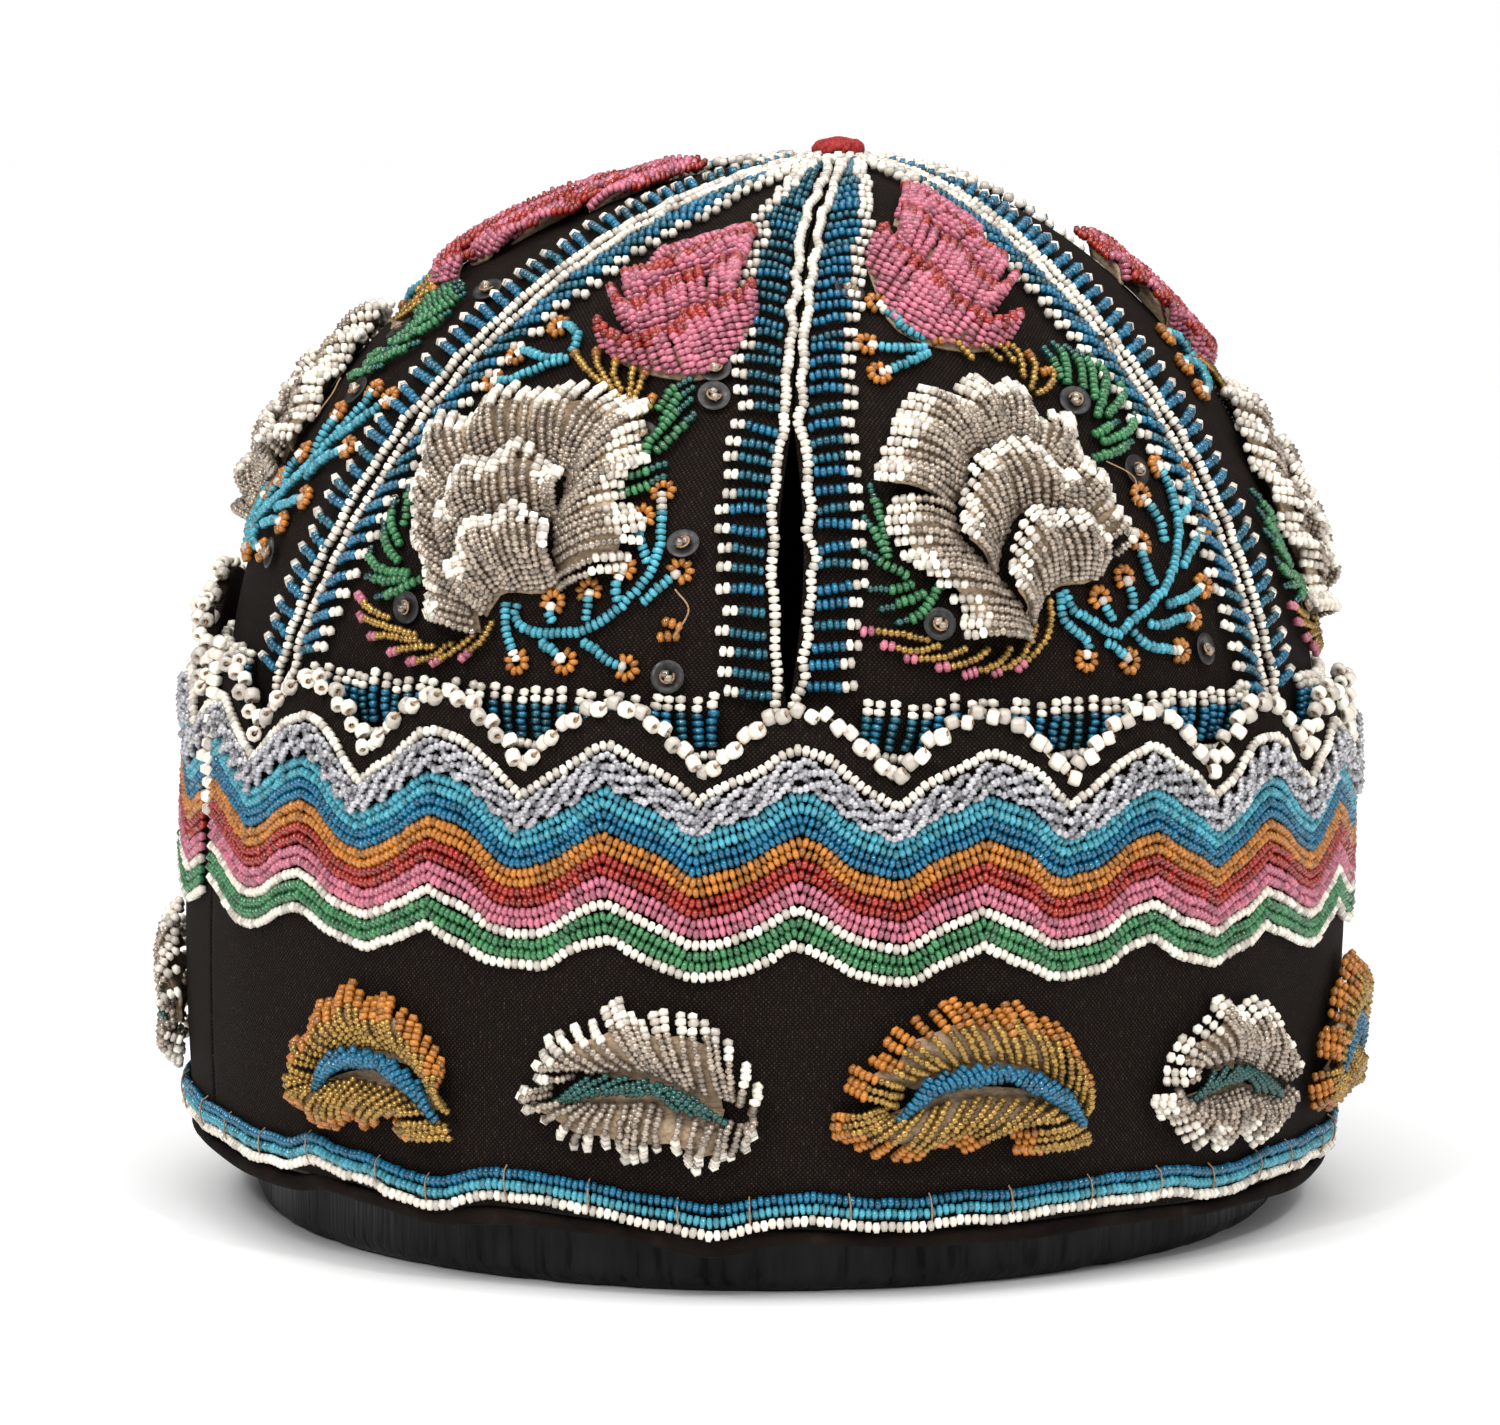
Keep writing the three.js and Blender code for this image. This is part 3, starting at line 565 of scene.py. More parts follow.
for side, (start, stop) in STRIPS.items():
    azimuths = np.linspace(start, stop, STRIP_COLUMNS)[:, None]
    share = np.linspace(0, 1, STRIP_ROWS)[None, :]
    levels = BAND_FOOT + (band_top(azimuths) - BAND_FOOT) * share
    azimuths = azimuths + 0 * share
    sag = STRIP_SAG * np.sin(azimuths * 17) * np.sin(math.pi * share)
    threads = np.stack([azimuths * BAND_RADIUS, levels, 0 * levels], -1) / THREAD_PITCH
    outer = on_band(azimuths, levels, sag)
    inner = on_band(azimuths, levels, sag - BAND_WALL)
    name = f"band_cloth_{side}"
    strip = new_object(name, cloth_wall(name, outer, inner, threads))
    strip.data.materials.append(cloth)
    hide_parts(f"band_{side}")
    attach(strip, "root")
    width, length, area = cut_size((outer + inner) / 2)


# The hem is a rolled binding of thin dark cotton sewn over the band's lower edge. It sags between
# its stitches, so the rim hangs a little lower in places.
HEM_THICKNESS = 3 * MM
DIP_AZIMUTHS = np.radians([-58, -28, -5, 22, 66, 140, 215])
DIP_DROPS = np.array([0.45, 0.3, 0.8, 0.25, 0.4, 0.5, 0.4]) * HEM_DEPTH
DIP_SPREADS = np.radians([9, 8, 5, 10, 9, 12, 12])
HEM_COLUMNS, HEM_SIDES = 620, 10


def dip_at(azimuth):
    """How far the rim hangs at an azimuth: a sum of bell curves, one for each dip."""
    turn = np.asarray(azimuth, float)[..., None] - DIP_AZIMUTHS
    away = np.arctan2(np.sin(turn), np.cos(turn))
    return (DIP_DROPS * np.exp(-((away / DIP_SPREADS) ** 2))).sum(-1)


# The rim's own waves: how far it drops, in millimetres, at places round the cap in degrees.
RIM_WAVE = {
    "azimuth": [-68, -60, -51, -46.5, -40, -33, -24, -16, -9, -4, 2, 12, 24, 36, 48, 60, 90, 150, 210,
                270, 292],
    "drop": [0, 0.3, 1.0, -0.9, 0.6, 2.3, -0.5, 0.6, 1.9, 2.4, 1.0, 1.5, 0.6, -0.4, 0.8, 0, 0.9, 0.1,
             1.0, 0.3, 0],
}


def rim_drop(azimuth):
    """How far the rim drops: the wave table in smooth steps."""
    return smooth_steps(azimuth, np.radians(RIM_WAVE["azimuth"]), np.array(RIM_WAVE["drop"]) * MM)


def hem_points(columns, sides):
    """A rounded section carried round the band's foot: at each azimuth a superellipse between the
    rim's hanging edge and the band, gathered by small random creases."""
    azimuth = np.linspace(0, 2 * math.pi, columns, endpoint=False)[:, None]
    turn = np.linspace(0, 2 * math.pi, sides, endpoint=False)[None, :]
    wave_drop = 0.5 * rim_drop(azimuth[:, 0])[:, None]
    top = RIM_HEIGHT + HEM_DEPTH - 0.05 * MM - wave_drop
    foot = RIM_HEIGHT - dip_at(azimuth[:, 0])[:, None] - wave_drop
    crease = 1 + 0.06 * ridges(azimuth, 12, 30, 40, 260) * (0.5 - 0.5 * np.cos(turn))
    rounded = np.sign(np.sin(turn)) * np.abs(np.sin(turn)) ** 0.7
    level = (top + foot) / 2 - (top - foot) / 2 * np.cos(turn)
    out = (HEM_THICKNESS / 2) * rounded * crease - BAND_WALL / 2
    return on_band(azimuth, level, out)


hem_part = (hem_points(HEM_COLUMNS, HEM_SIDES)[:, ::-1],
            grid_faces(HEM_COLUMNS, HEM_SIDES, wrap_columns=True, wrap_rows=True))
hem = new_object("hem", join_mesh("hem", [hem_part]))
hem_material, hem_tree, hem_shader = principled("hem_cotton", (0.010, 0.0065, 0.005), 0.95)
hem_shader.inputs["Specular IOR Level"].default_value = 0.08
hem_place = object_coordinates(hem_tree)
hem_threads = link_noise(hem_tree, 1800, 3, hem_place, (1, 1, 3))
hem_dust = link_noise(hem_tree, 140, 6, hem_place)
hem_tree.links.new(
    ramp(hem_tree, hem_dust, [(0.35, (0.005, 0.003, 0.0024)), (0.62, (0.012, 0.008, 0.006)),
                              (0.8, (0.034, 0.025, 0.019))]),
    hem_shader.inputs["Base Color"])
bump(hem_tree, hem_shader, hem_threads, 0.2 * MM)
hem.data.materials.append(hem_material)
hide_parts("hem_binding")
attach(hem, "root")


# The band's upper half is covered with waved rows of seed beads sewn flat side by side. From the
# top they are white, a clear twisted braid, turquoise, blue, orange, red, pink, white, green and
# white. Rows near the top copy the scallops, and lower rows turn the same waves the other way up.
SHOULDER = 0.25
BEAD_REACH = 0.55
BEAD_SIDES = 5
SMALL_GLASSES = ("rose", "clear", "gold", "teal")
SMALL_SIDES = 6
SMALL_REACH = 0.9
BEAD_RELIEF = 0.85 * MM
ROW_TABLE = {
    "colour": ["turquoise", "turquoise", "blue", "blue", "orange", "orange", "red", "red",
               "pink", "pink", "white", "green", "green", "white"],
    "peak": [75.2, 73.5, 71.9, 70.3, 68.6, 67.0, 65.4, 63.8, 62.1, 60.5, 58.7, 56.9, 55.3, 53.6],
}
ROW_DEPTHS = (6.9 * MM, 5.0 * MM)
TOP_ROW_PEAK, TOP_ROW_VALLEY = 81.8 * MM, 73.6 * MM
BRAID_PEAKS = (79.6 * MM, 77.2 * MM)
BRAID_VALLEYS = (71.6 * MM, 69.6 * MM)
BRAID_TWIST = 7.5 * MM
BRAID_HALF = 0.9 * MM
BRAID_DEPTH = 0.85 * MM
SHADE_STEPS = (0.62, 1.0, 1.28)
SHADE_CHANCES = (0.25, 0.53, 0.22)
GLASS_GLOSS = 0.75
# For each kind of bead: its glass in three shades, its slot's name, and its pitch and width.
GLASSES, SLOTS, PITCHES, WIDTHS = {}, {}, {}, {}
beads_of = {}


def unit(vectors):
    """Each vector divided by its length."""
    return vectors / np.maximum(np.linalg.norm(vectors, axis=-1, keepdims=True), 1e-12)


def along(values, reach, places):
    """Linear interpolation of rows of values at places along a line."""
    return np.stack([np.interp(places, reach, values[:, k]) for k in range(values.shape[1])], -1)


def thread_beads(line, up, pitch, width, chance, loose=0.04):
    """Beads along a line of points. Their number is the line's length over the pitch, rounded,
    and each sits in the middle of its share of the length, with the line's direction as its
    axis. Returns rows of centre, axis, up, length, radius and shade."""
    reach = np.concatenate([[0], np.cumsum(np.linalg.norm(np.diff(line, axis=0), axis=1))])
    count = max(int(round(reach[-1] / pitch)), 1)
    step = reach[-1] / count
    places = (np.arange(count) + 0.5) * step
    centre = along(line, reach, places)
    axis = unit(along(line, reach, places + 0.5 * step) - along(line, reach, places - 0.5 * step))
    upward = unit(along(up, reach, places))
    across = unit(np.cross(axis, upward))
    upward = np.cross(across, axis)
    axis = unit(axis + chance.normal(0, loose * 1.6, (count, 1)) * across)
    centre = centre + chance.normal(0, loose, (count, 1)) * width * across
    centre = centre + chance.normal(0, loose, (count, 1)) * width * upward
    length = step * 1.06 * (1 + chance.normal(0, 0.05, (count, 1)))
    radius = 0.5 * width * (1 + chance.normal(0, 0.045, (count, 1)))
    shade = chance.choice(3, (count, 1), p=SHADE_CHANCES)
    return np.concatenate([centre, axis, upward, length, radius, shade], axis=1)


def add_beads(piece, colour, rows):
    """Keeps rows of beads for the piece of one colour that they belong to."""
    beads_of.setdefault((piece, colour), []).append(rows)


def add_row(piece, colour, line, up, chance, loose=0.04):
    """Threads beads of one kind along a line, at their own pitch, and keeps them."""
    add_beads(piece, colour, thread_beads(line, up, PITCHES[colour], WIDTHS[colour], chance, loose))


def bead_mesh(name, beads, small):
    """Each bead is one or two rings of points between two end points. A small bead has a single
    ring at its middle, the others two at plus and minus the shoulder share of the length."""
    centre, axis, up = beads[:, None, 0:3], beads[:, None, 3:6], beads[:, None, 6:9]
    length, radius = beads[:, None, 9:10], beads[:, None, 10:11]
    across = np.cross(axis, up)
    if small:
        sides, reach, levels = SMALL_SIDES, SMALL_REACH, (0,)
    else:
        sides, reach, levels = BEAD_SIDES, BEAD_REACH, (-SHOULDER, SHOULDER)
    turn = (np.arange(sides) * 2 * math.pi / sides)[None, :, None]
    ring = radius * (np.cos(turn) * up + np.sin(turn) * across)
    rings = [centre + level * length * axis + ring for level in levels]
    end = reach * length * axis
    vertices = np.concatenate([centre - end, *rings, centre + end], axis=1)
    per_bead = vertices.shape[1]
    k = np.arange(sides)
    following = (k + 1) % sides
    last = per_bead - 1 - sides
    foot = np.stack([0 * k, 1 + following, 1 + k], -1)
    top = np.stack([0 * k + per_bead - 1, last + k, last + following], -1)
    first = (np.arange(len(beads)) * per_bead)[:, None, None]
    triangles = (np.concatenate([foot, top])[None] + first).reshape(-1, 3)
    shade = beads[:, 11].astype(np.int32)
    mesh = bpy.data.meshes.new(name)
    if small:
        fill_mesh(mesh, vertices.reshape(-1, 3), triangles)
        places = np.repeat(shade, 2 * sides)
    else:
        belt = np.stack([1 + k, 1 + following, 1 + sides + following, 1 + sides + k], -1)
        fill_mesh(mesh, vertices.reshape(-1, 3), (belt[None] + first).reshape(-1, 4), triangles)
        places = np.concatenate([np.repeat(shade, sides), np.repeat(shade, 2 * sides)])
    mesh.polygons.foreach_set("material_index", places)
    return mesh


def glass(name, color, roughness=0.09, **settings):
    """Three shades of one glass. The colour is even, as in real glass, and the gloss is broken
    by fine noise: fire marks and wear in roughness, and a slight waviness in bump."""
    made = []
    for number, share in enumerate(SHADE_STEPS):
        shade = tuple(min(share * value, 0.95) for value in color)
        material, tree, shader = principled(f"{name}_{number + 1}", shade, roughness, **settings)
        shader.inputs["Specular IOR Level"].default_value = GLASS_GLOSS
        where = object_coordinates(tree)
        worn = link_noise(tree, 700, 3, where)
        tree.links.new(ramp(tree, worn, [(0.35, 0.7 * roughness), (0.7, 2.2 * roughness)]),
                       shader.inputs["Roughness"])
        bump(tree, shader, link_noise(tree, 1500, 2, where), 0.08 * MM, 0.5)
        made.append(material)
    return made


def bead_kind(name, pitch, width, color, slot=None, roughness=0.09, **settings):
    """Adds a kind of bead. Its pitch and width are in millimetres, and its slot is its own or
    that of a kind which looks alike."""
    PITCHES[name], WIDTHS[name] = pitch * MM, width * MM
    GLASSES[name] = glass(f"{name}_glass", color, roughness, **settings)
    SLOTS[name] = slot or f"{name}_beads"


bead_kind("white", 1.18, 1.62, (0.80, 0.72, 0.62))
bead_kind("turquoise", 0.98, 1.64, (0.055, 0.30, 0.38))
bead_kind("blue", 0.96, 1.6, (0.003, 0.108, 0.20))
bead_kind("orange", 0.98, 1.62, (0.42, 0.148, 0.017))
bead_kind("red", 0.98, 1.6, (0.28, 0.018, 0.010))
bead_kind("pink", 0.98, 1.62, (0.46, 0.13, 0.185))
bead_kind("green", 1.0, 1.64, (0.035, 0.165, 0.06))
bead_kind("clear", 0.92, 1.4, (0.44, 0.43, 0.45), roughness=0.07, Metallic=0.3)


def bead_pieces(piece, *nodes):
    """Makes one object for each colour of a piece; the first stands for the CAD nodes."""
    keys = [key for key in beads_of if key[0] == piece]
    for key in keys:
        rows = np.concatenate(beads_of.pop(key))
        colour = key[1]
        mesh = bead_mesh(f"{piece}_{colour}", rows, colour in SMALL_GLASSES)
        made = new_object(f"{piece}_{colour}", mesh)
        for material in GLASSES[colour]:
            made.data.materials.append(material)
        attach(made, "root")
        if nodes:
            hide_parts(*nodes)
            nodes = ()


def wobble(azimuth, level, seed, size):
    """Unevenness of hand work: a sum of waves in azimuth and level, the same for near rows."""
    chance = np.random.default_rng(seed)
    total = 0 * azimuth
    for _ in range(14):
        around = chance.integers(5, 60)
        drift = chance.uniform(-1.4, 1.4) * level / (10 * MM)
        total = total + np.cos(around * azimuth + drift + chance.uniform(0, 2 * math.pi))
    return size * total / math.sqrt(14)


def row_level(azimuth, peak, valley, sharp):
    """Level of a waved row. sharp 0 gives round peaks over pointed valleys, 1 the reverse, and
    both are softened by a plain cosine wave of the same length."""
    azimuth = azimuth + wobble(azimuth, peak, 31, math.radians(0.5))
    half_turn = (azimuth - WAVE_OFFSET) * SCALLOP_COUNT / 2
    round_peaks = np.abs(np.cos(half_turn)) ** 0.85
    round_valleys = 1 - np.abs(np.sin(half_turn)) ** 0.85
    pointed = (1 - sharp) * round_peaks + sharp * round_valleys
    height = 0.6 * pointed + 0.4 * np.cos(half_turn) ** 2
    return valley + (peak - valley) * height + wobble(azimuth, peak, 32, 0.28 * MM)


def band_line(azimuth, level, out):
    """Points of a line on the band, with the band's outward direction at each."""
    points = on_band(azimuth, level, out)
    return points, unit(on_band(azimuth, level, out + MM) - points)


rows_chance = np.random.default_rng(40)
BARE = BAND_BARE_STRIP / BAND_RADIUS
for start, stop in STRIPS.values():
    azimuths = np.linspace(start + BARE, stop - BARE, 2400)
    lift = 0.3 * rise_at(azimuths)
    level = row_level(azimuths, TOP_ROW_PEAK, TOP_ROW_VALLEY, 0.1) + 1.5 * lift
    points, outward = band_line(azimuths, level, BEAD_RELIEF)
    add_row("zigzag", "white", points, outward, rows_chance)
    for number, (peak, valley) in enumerate(zip(BRAID_PEAKS, BRAID_VALLEYS)):
        middle = row_level(azimuths, peak, valley, 0.25) + lift
        reach = np.cumsum(np.hypot(np.gradient(azimuths) * BAND_RADIUS, np.gradient(middle)))
        twist = 2 * math.pi * reach / BRAID_TWIST + 2.4 * number
        for strand in (0, math.pi):
            level = middle + BRAID_HALF * np.sin(twist + strand)
            out = 1.5 * MM + BRAID_DEPTH * np.cos(twist + strand)
            points, outward = band_line(azimuths, level, out)
            add_row("zigzag", "clear", points, outward, rows_chance, 0.07)
    for number, (colour, peak) in enumerate(zip(ROW_TABLE["colour"], ROW_TABLE["peak"])):
        share = number / (len(ROW_TABLE["peak"]) - 1)
        depth = ROW_DEPTHS[0] + (ROW_DEPTHS[1] - ROW_DEPTHS[0]) * share
        level = row_level(azimuths, peak * MM, peak * MM - depth, 0.5 + 0.5 * share)
        level = level + lift * (1 - share)
        points, outward = band_line(azimuths, level, BEAD_RELIEF)
        add_row("zigzag", colour, points, outward, rows_chance)
bead_pieces("zigzag", "zigzag_front", "zigzag_back")


# Three rows of seed beads run round the rim above the hem: blue, light turquoise and white. They
# are couched down with tan thread at uneven distances, so they ripple. Levels are in millimetres.
RIM_ROWS = {"colour": ["blue", "turquoise", "white"], "level": [17.2, 15.5, 13.8]}
HEM_TOP = 13.4 * MM

rim_chance = np.random.default_rng(41)
azimuths = np.linspace(LEFT_SEAM, LEFT_SEAM_AGAIN, 5000)
for number, (colour, height) in enumerate(zip(RIM_ROWS["colour"], RIM_ROWS["level"])):
    share = number / (len(RIM_ROWS["level"]) - 1)
    level = height * MM - (0.2 + 0.2 * share) * dip_at(azimuths) - rim_drop(azimuths)
    level = level + wobble(azimuths, height * MM, 33, 0.22 * MM)
    over_hem = np.clip((HEM_TOP - level) / MM, 0, 1) * 0.7 * MM
    points, outward = band_line(azimuths, level, BEAD_RELIEF + over_hem)
    add_row("rim", colour, points, outward, rim_chance)
bead_pieces("rim", "rim_beading")


# A string of larger white beads edges the scallops. Each stitch of tan thread sets one bead
# upright on the edge and the next one flat against the face, so the thread shows in their holes.
EDGING_PITCH = 2.1 * MM
EDGING_RADIUS = 1.2 * MM
EDGING_HOLE = 0.42 * MM
EDGING_HALF_LENGTH = 0.9 * MM
EDGING_SIDES = 8
THREAD_RADIUS = 0.17 * MM
# Places of the string down the open seam: its top, its foot, and half the gap between its two.
SEAM_STRING_TOP, SEAM_STRING_FOOT = 91 * MM, 63 * MM
SEAM_STRING_INSET, SEAM_STRING_WIDTH = 0.9 * MM, 2.2 * MM


def ring_beads(name, centre, axis, up, radius, hole, half_length, sides):
    """Beads with a real hole: a hexagonal section turned round each bead's axis. The section's
    corners lie at the outer radius, at the middle of each end, and at the hole's edge."""
    across = np.cross(axis, up)
    corner_radius = np.array([1.0, 0.78, 0.0, 0.0, 0.78, 1.0])
    corner_height = np.array([0.5, 1.0, 0.7, -0.7, -1.0, -0.5])
    reach = hole + (radius[:, None] - hole) * corner_radius
    height = half_length[:, None] * corner_height
    turn = np.arange(sides) * 2 * math.pi / sides
    cosine, sine = np.cos(turn)[None, :, None], np.sin(turn)[None, :, None]
    spoke = cosine * up[:, None] + sine * across[:, None]
    points = centre[:, None, None] + reach[:, None, :, None] * spoke[:, :, None]
    points = points + height[:, None, :, None] * axis[:, None, None]
    corners = corner_radius.size
    i, j = np.meshgrid(np.arange(sides), np.arange(corners), indexing="ij")
    right, above = (i + 1) % sides, (j + 1) % corners
    cell = np.stack([right * corners + j, right * corners + above, i * corners + above, i * corners + j], -1)
    first = (np.arange(len(centre)) * sides * corners)[:, None, None]
    mesh = bpy.data.meshes.new(name)
    fill_mesh(mesh, points.reshape(-1, 3), (cell.reshape(1, -1, 4) + first).reshape(-1, 4))
    return mesh, sides * corners


def tube_part(line, up, radius, sides=4, closed=False):
    """A thread: rings of points carried along a line. An open thread has four sides and one face
    over each end, and a closed one's last ring joins its first."""
    if closed:
        axis = unit(np.roll(line, -1, axis=0) - np.roll(line, 1, axis=0))
    else:
        axis = unit(np.gradient(line, axis=0))
    across = unit(np.cross(axis, up))
    upward = np.cross(across, axis)
    turn = np.arange(sides) * 2 * math.pi / sides
    ring = np.cos(turn)[None, :, None] * upward[:, None] + np.sin(turn)[None, :, None] * across[:, None]
    faces = grid_faces(len(line), sides, wrap_columns=closed, wrap_rows=True)
    if not closed:
        last = 4 * (len(line) - 1)
        faces = np.concatenate([faces, [(3, 2, 1, 0), (last, last + 1, last + 2, last + 3)]])
    return line[:, None] + radius * ring, faces[:, ::-1]


def edging_strings(start, stop, chance):
    """Places of the edging's beads: even steps along the scalloped edge, every other bead set
    upright on it and the rest against its face, at uneven heights and slants."""
    azimuth = np.linspace(start, stop, 4000)
    edge = on_band(azimuth, band_top(azimuth) + SEAT_GAP, -BAND_WALL / 2)
    reach = np.concatenate([[0], np.cumsum(np.linalg.norm(np.diff(edge, axis=0), axis=1))])
    count = int(reach[-1] / EDGING_PITCH)
    places = (np.arange(count) + 0.5) * reach[-1] / count
    azimuth = np.interp(places, reach, azimuth)
    upright = np.arange(count) % 2 == 0
    level = band_top(azimuth) + np.where(upright, 1.15, 0.55) * MM + chance.normal(0, 0.2 * MM, count)
    out = np.where(upright, -0.6, 0.5) * MM + chance.normal(0, 0.2 * MM, count)
    centre = on_band(azimuth, level, out)
    outward = unit(on_band(azimuth, level, out + MM) - centre)
    ahead = unit(np.gradient(on_band(azimuth, band_top(azimuth), 0 * azimuth), axis=0))
    slant = chance.normal(0, 0.3, (count, 1))
    axis = unit(ahead + np.where(upright[:, None], 0.15, 0.55) * outward + slant * np.array([0, 0, 1]))
    up = unit(np.cross(np.cross(axis, outward + 0.01 * ahead), axis))
    return centre, axis, up, outward, count


def fibrous(name, color, roughness, noise, stops, depth, **settings):
    """A material whose colour and bump follow one noise. noise holds its scale, its detail and
    its stretch, and stops are those of the colour ramp. Returns material, tree, shader, noise."""
    material, tree, shader = principled(name, color, roughness, **settings)
    scale, detail, stretch = noise
    fibres = link_noise(tree, scale, detail, object_coordinates(tree), stretch)
    tree.links.new(ramp(tree, fibres, stops), shader.inputs["Base Color"])
    bump(tree, shader, fibres, depth)
    return material, tree, shader, fibres


edging_chance = np.random.default_rng(42)
tan_thread = fibrous("tan_thread", (0.36, 0.20, 0.10), 0.75, (2500, 4, (1, 1, 1)),
                     [(0.3, (0.20, 0.105, 0.05)), (0.7, (0.46, 0.28, 0.15))], 0.1 * MM)[0]


def thread_piece(name, parts):
    """One object of several stretches of tan thread."""
    thread = new_object(name, join_mesh(name, parts))
    thread.data.materials.append(tan_thread)
    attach(thread, "root")


for side, (start, stop) in STRIPS.items():
    centre, axis, up, outward, count = edging_strings(start, stop, edging_chance)
    radius = EDGING_RADIUS * (1 + edging_chance.normal(0, 0.06, count))
    half_length = EDGING_HALF_LENGTH * (1 + edging_chance.normal(0, 0.08, count))
    mesh, faces = ring_beads(f"edging_{side}", centre, axis, up, radius, EDGING_HOLE, half_length,
                             EDGING_SIDES)
    shade = edging_chance.choice(3, count, p=SHADE_CHANCES)
    mesh.polygons.foreach_set("material_index", np.repeat(shade, faces).astype(np.int32))
    edging = new_object(f"edging_{side}", mesh)
    for material in GLASSES["white"]:
        edging.data.materials.append(material)
    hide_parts(f"scallop_edging_{side}")
    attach(edging, "root")
    ends = np.tile([[-1], [1]], (count, 1)) * EDGING_HALF_LENGTH
    line = np.repeat(centre, 2, axis=0) + ends * np.repeat(axis, 2, axis=0)
    thread_piece(f"edging_thread_{side}", [tube_part(line, np.repeat(outward, 2, axis=0), THREAD_RADIUS)])

# The string goes on down the open seam at the band's left, along the turned edge of each strip.
for inset in (SEAM_STRING_INSET, -SEAM_STRING_INSET):
    levels = np.linspace(SEAM_STRING_TOP, SEAM_STRING_FOOT, 40)
    azimuth = LEFT_SEAM + inset / BAND_RADIUS + 0.006 * np.sin(levels * 420)
    points, outward = band_line(azimuth, levels, 0.9 * MM)
    add_beads("seam_string", "white",
              thread_beads(points, outward, EDGING_PITCH, SEAM_STRING_WIDTH, edging_chance, 0.1))
bead_pieces("seam_string")


# Beside each seam of the crown lies a white string, and from it ladder stitches of petrol blue
# beads with two white ones at their outer ends. The same stitches stand along the crown's base.
bead_kind("petrol", 1.0, 1.46, (0.006, 0.085, 0.125), "blue_beads", 0.08)
STRING_WIDTH = 1.65 * MM
BORDER_WIDTH = 7.6 * MM
BORDER_ANGLE = math.radians(11)
BORDER_FOOT = 127.5 * MM
BASE_STITCH_TOP = 127 * MM
BASE_STITCH_FOOT = 134.4 * MM
BASE_LINE = 135.6 * MM
# Lengths that a white and a blue bead take up in a ladder stitch, and its two white ones together.
STITCH_WHITE, STITCH_BLUE, STITCH_END = 1.15 * MM, 0.95 * MM, 2.2 * MM


def border_width(arc):
    """Full width of a seam's border, narrowed near the peak to a fixed angle of the crown."""
    return np.minimum(BORDER_WIDTH, crown_radius(arc) * BORDER_ANGLE)


def crown_line(azimuth, arc, out):
    """Points of a line on the crown, with the cloth's outward direction at each."""
    points = on_crown(azimuth, arc, out)
    return points, unit(on_crown(azimuth, arc, out + MM) - points)


def stitch(piece, azimuths, arcs, blue, blues, whites, chance, lift=0.7 * MM):
    """One ladder stitch between two places of the crown: it arches a little, with its blue beads
    first and its white beads last, in proportion to their pitches."""
    share = np.linspace(0, 1, 9)
    azimuth = azimuths[0] + (azimuths[1] - azimuths[0]) * share
    arc = arcs[0] + (arcs[1] - arcs[0]) * share
    points, outward = crown_line(azimuth, arc, BEAD_RELIEF + lift * np.sin(math.pi * share))
    white_share = whites * STITCH_WHITE / (whites * STITCH_WHITE + blues * STITCH_BLUE)
    split = np.interp(1 - white_share, share, np.arange(9))
    for colour, low, high in ((blue, 0, split), ("white", split, 8)):
        grid = np.linspace(low, high, 6)
        line = along(points, np.arange(9), grid)
        facing = along(outward, np.arange(9), grid)
        length = np.linalg.norm(np.diff(line, axis=0), axis=1).sum()
        count = whites if colour == "white" else blues
        add_beads(piece, colour, thread_beads(line, facing, length / count, WIDTHS[colour], chance, 0.05))


seam_chance = np.random.default_rng(43)
for index in range(GORE_COUNT):
    is_front = index == FRONT_SEAM
    for side in (-1, 1):
        arcs = np.linspace(5 * MM, BORDER_FOOT + 9 * MM, 900)
        ripple = wobble(arcs / CROWN_RADIUS * 2, index * MM, 60 + index + 7 * side, 0.33 * MM)
        parted = 0 if is_front else 0.8 * MM * np.clip((arcs / CROWN_ARC - 0.25) / 0.5, 0, 1)
        offset = seam_opening(index, arcs) + 1.0 * MM + ripple + parted
        azimuths = seam_azimuth(index, arcs) + side * offset / crown_radius(arcs)
        points, outward = crown_line(azimuths, arcs, BEAD_RELIEF)
        add_beads("seams", "white",
                  thread_beads(points, outward, PITCHES["white"], STRING_WIDTH, seam_chance))
        arc = 7 * MM
        while arc < BORDER_FOOT:
            width = border_width(arc) * (1 + seam_chance.normal(0, 0.05))
            near = seam_opening(index, arc) + (1.95 if is_front else 2.4) * MM
            far = max(near + STITCH_END, near + width - 0.6 * MM)
            slant = seam_chance.normal(1.3 - arc / CROWN_ARC + (0 if is_front else 1.8), 0.4) * MM
            petrol_share = 0.8 if is_front and side < 0 else 0.3
            blue = "petrol" if seam_chance.random() < petrol_share else "blue"
            seam = seam_azimuth(index, arc)
            azimuths = (seam + side * near / crown_radius(arc), seam + side * far / crown_radius(arc))
            blues = max(1, round((far - near - STITCH_END) / STITCH_BLUE))
            stitch("seams", azimuths, (arc + slant, arc), blue, blues, 2, seam_chance)
            arc += (2.2 + 0.55 * arc / CROWN_ARC) * MM * (1 + abs(seam_chance.normal(0, 0.1)))
bead_pieces("seams", *(f"seam_border_{index + 1}_{side}"
                       for index in range(GORE_COUNT) for side in ("left", "right")))

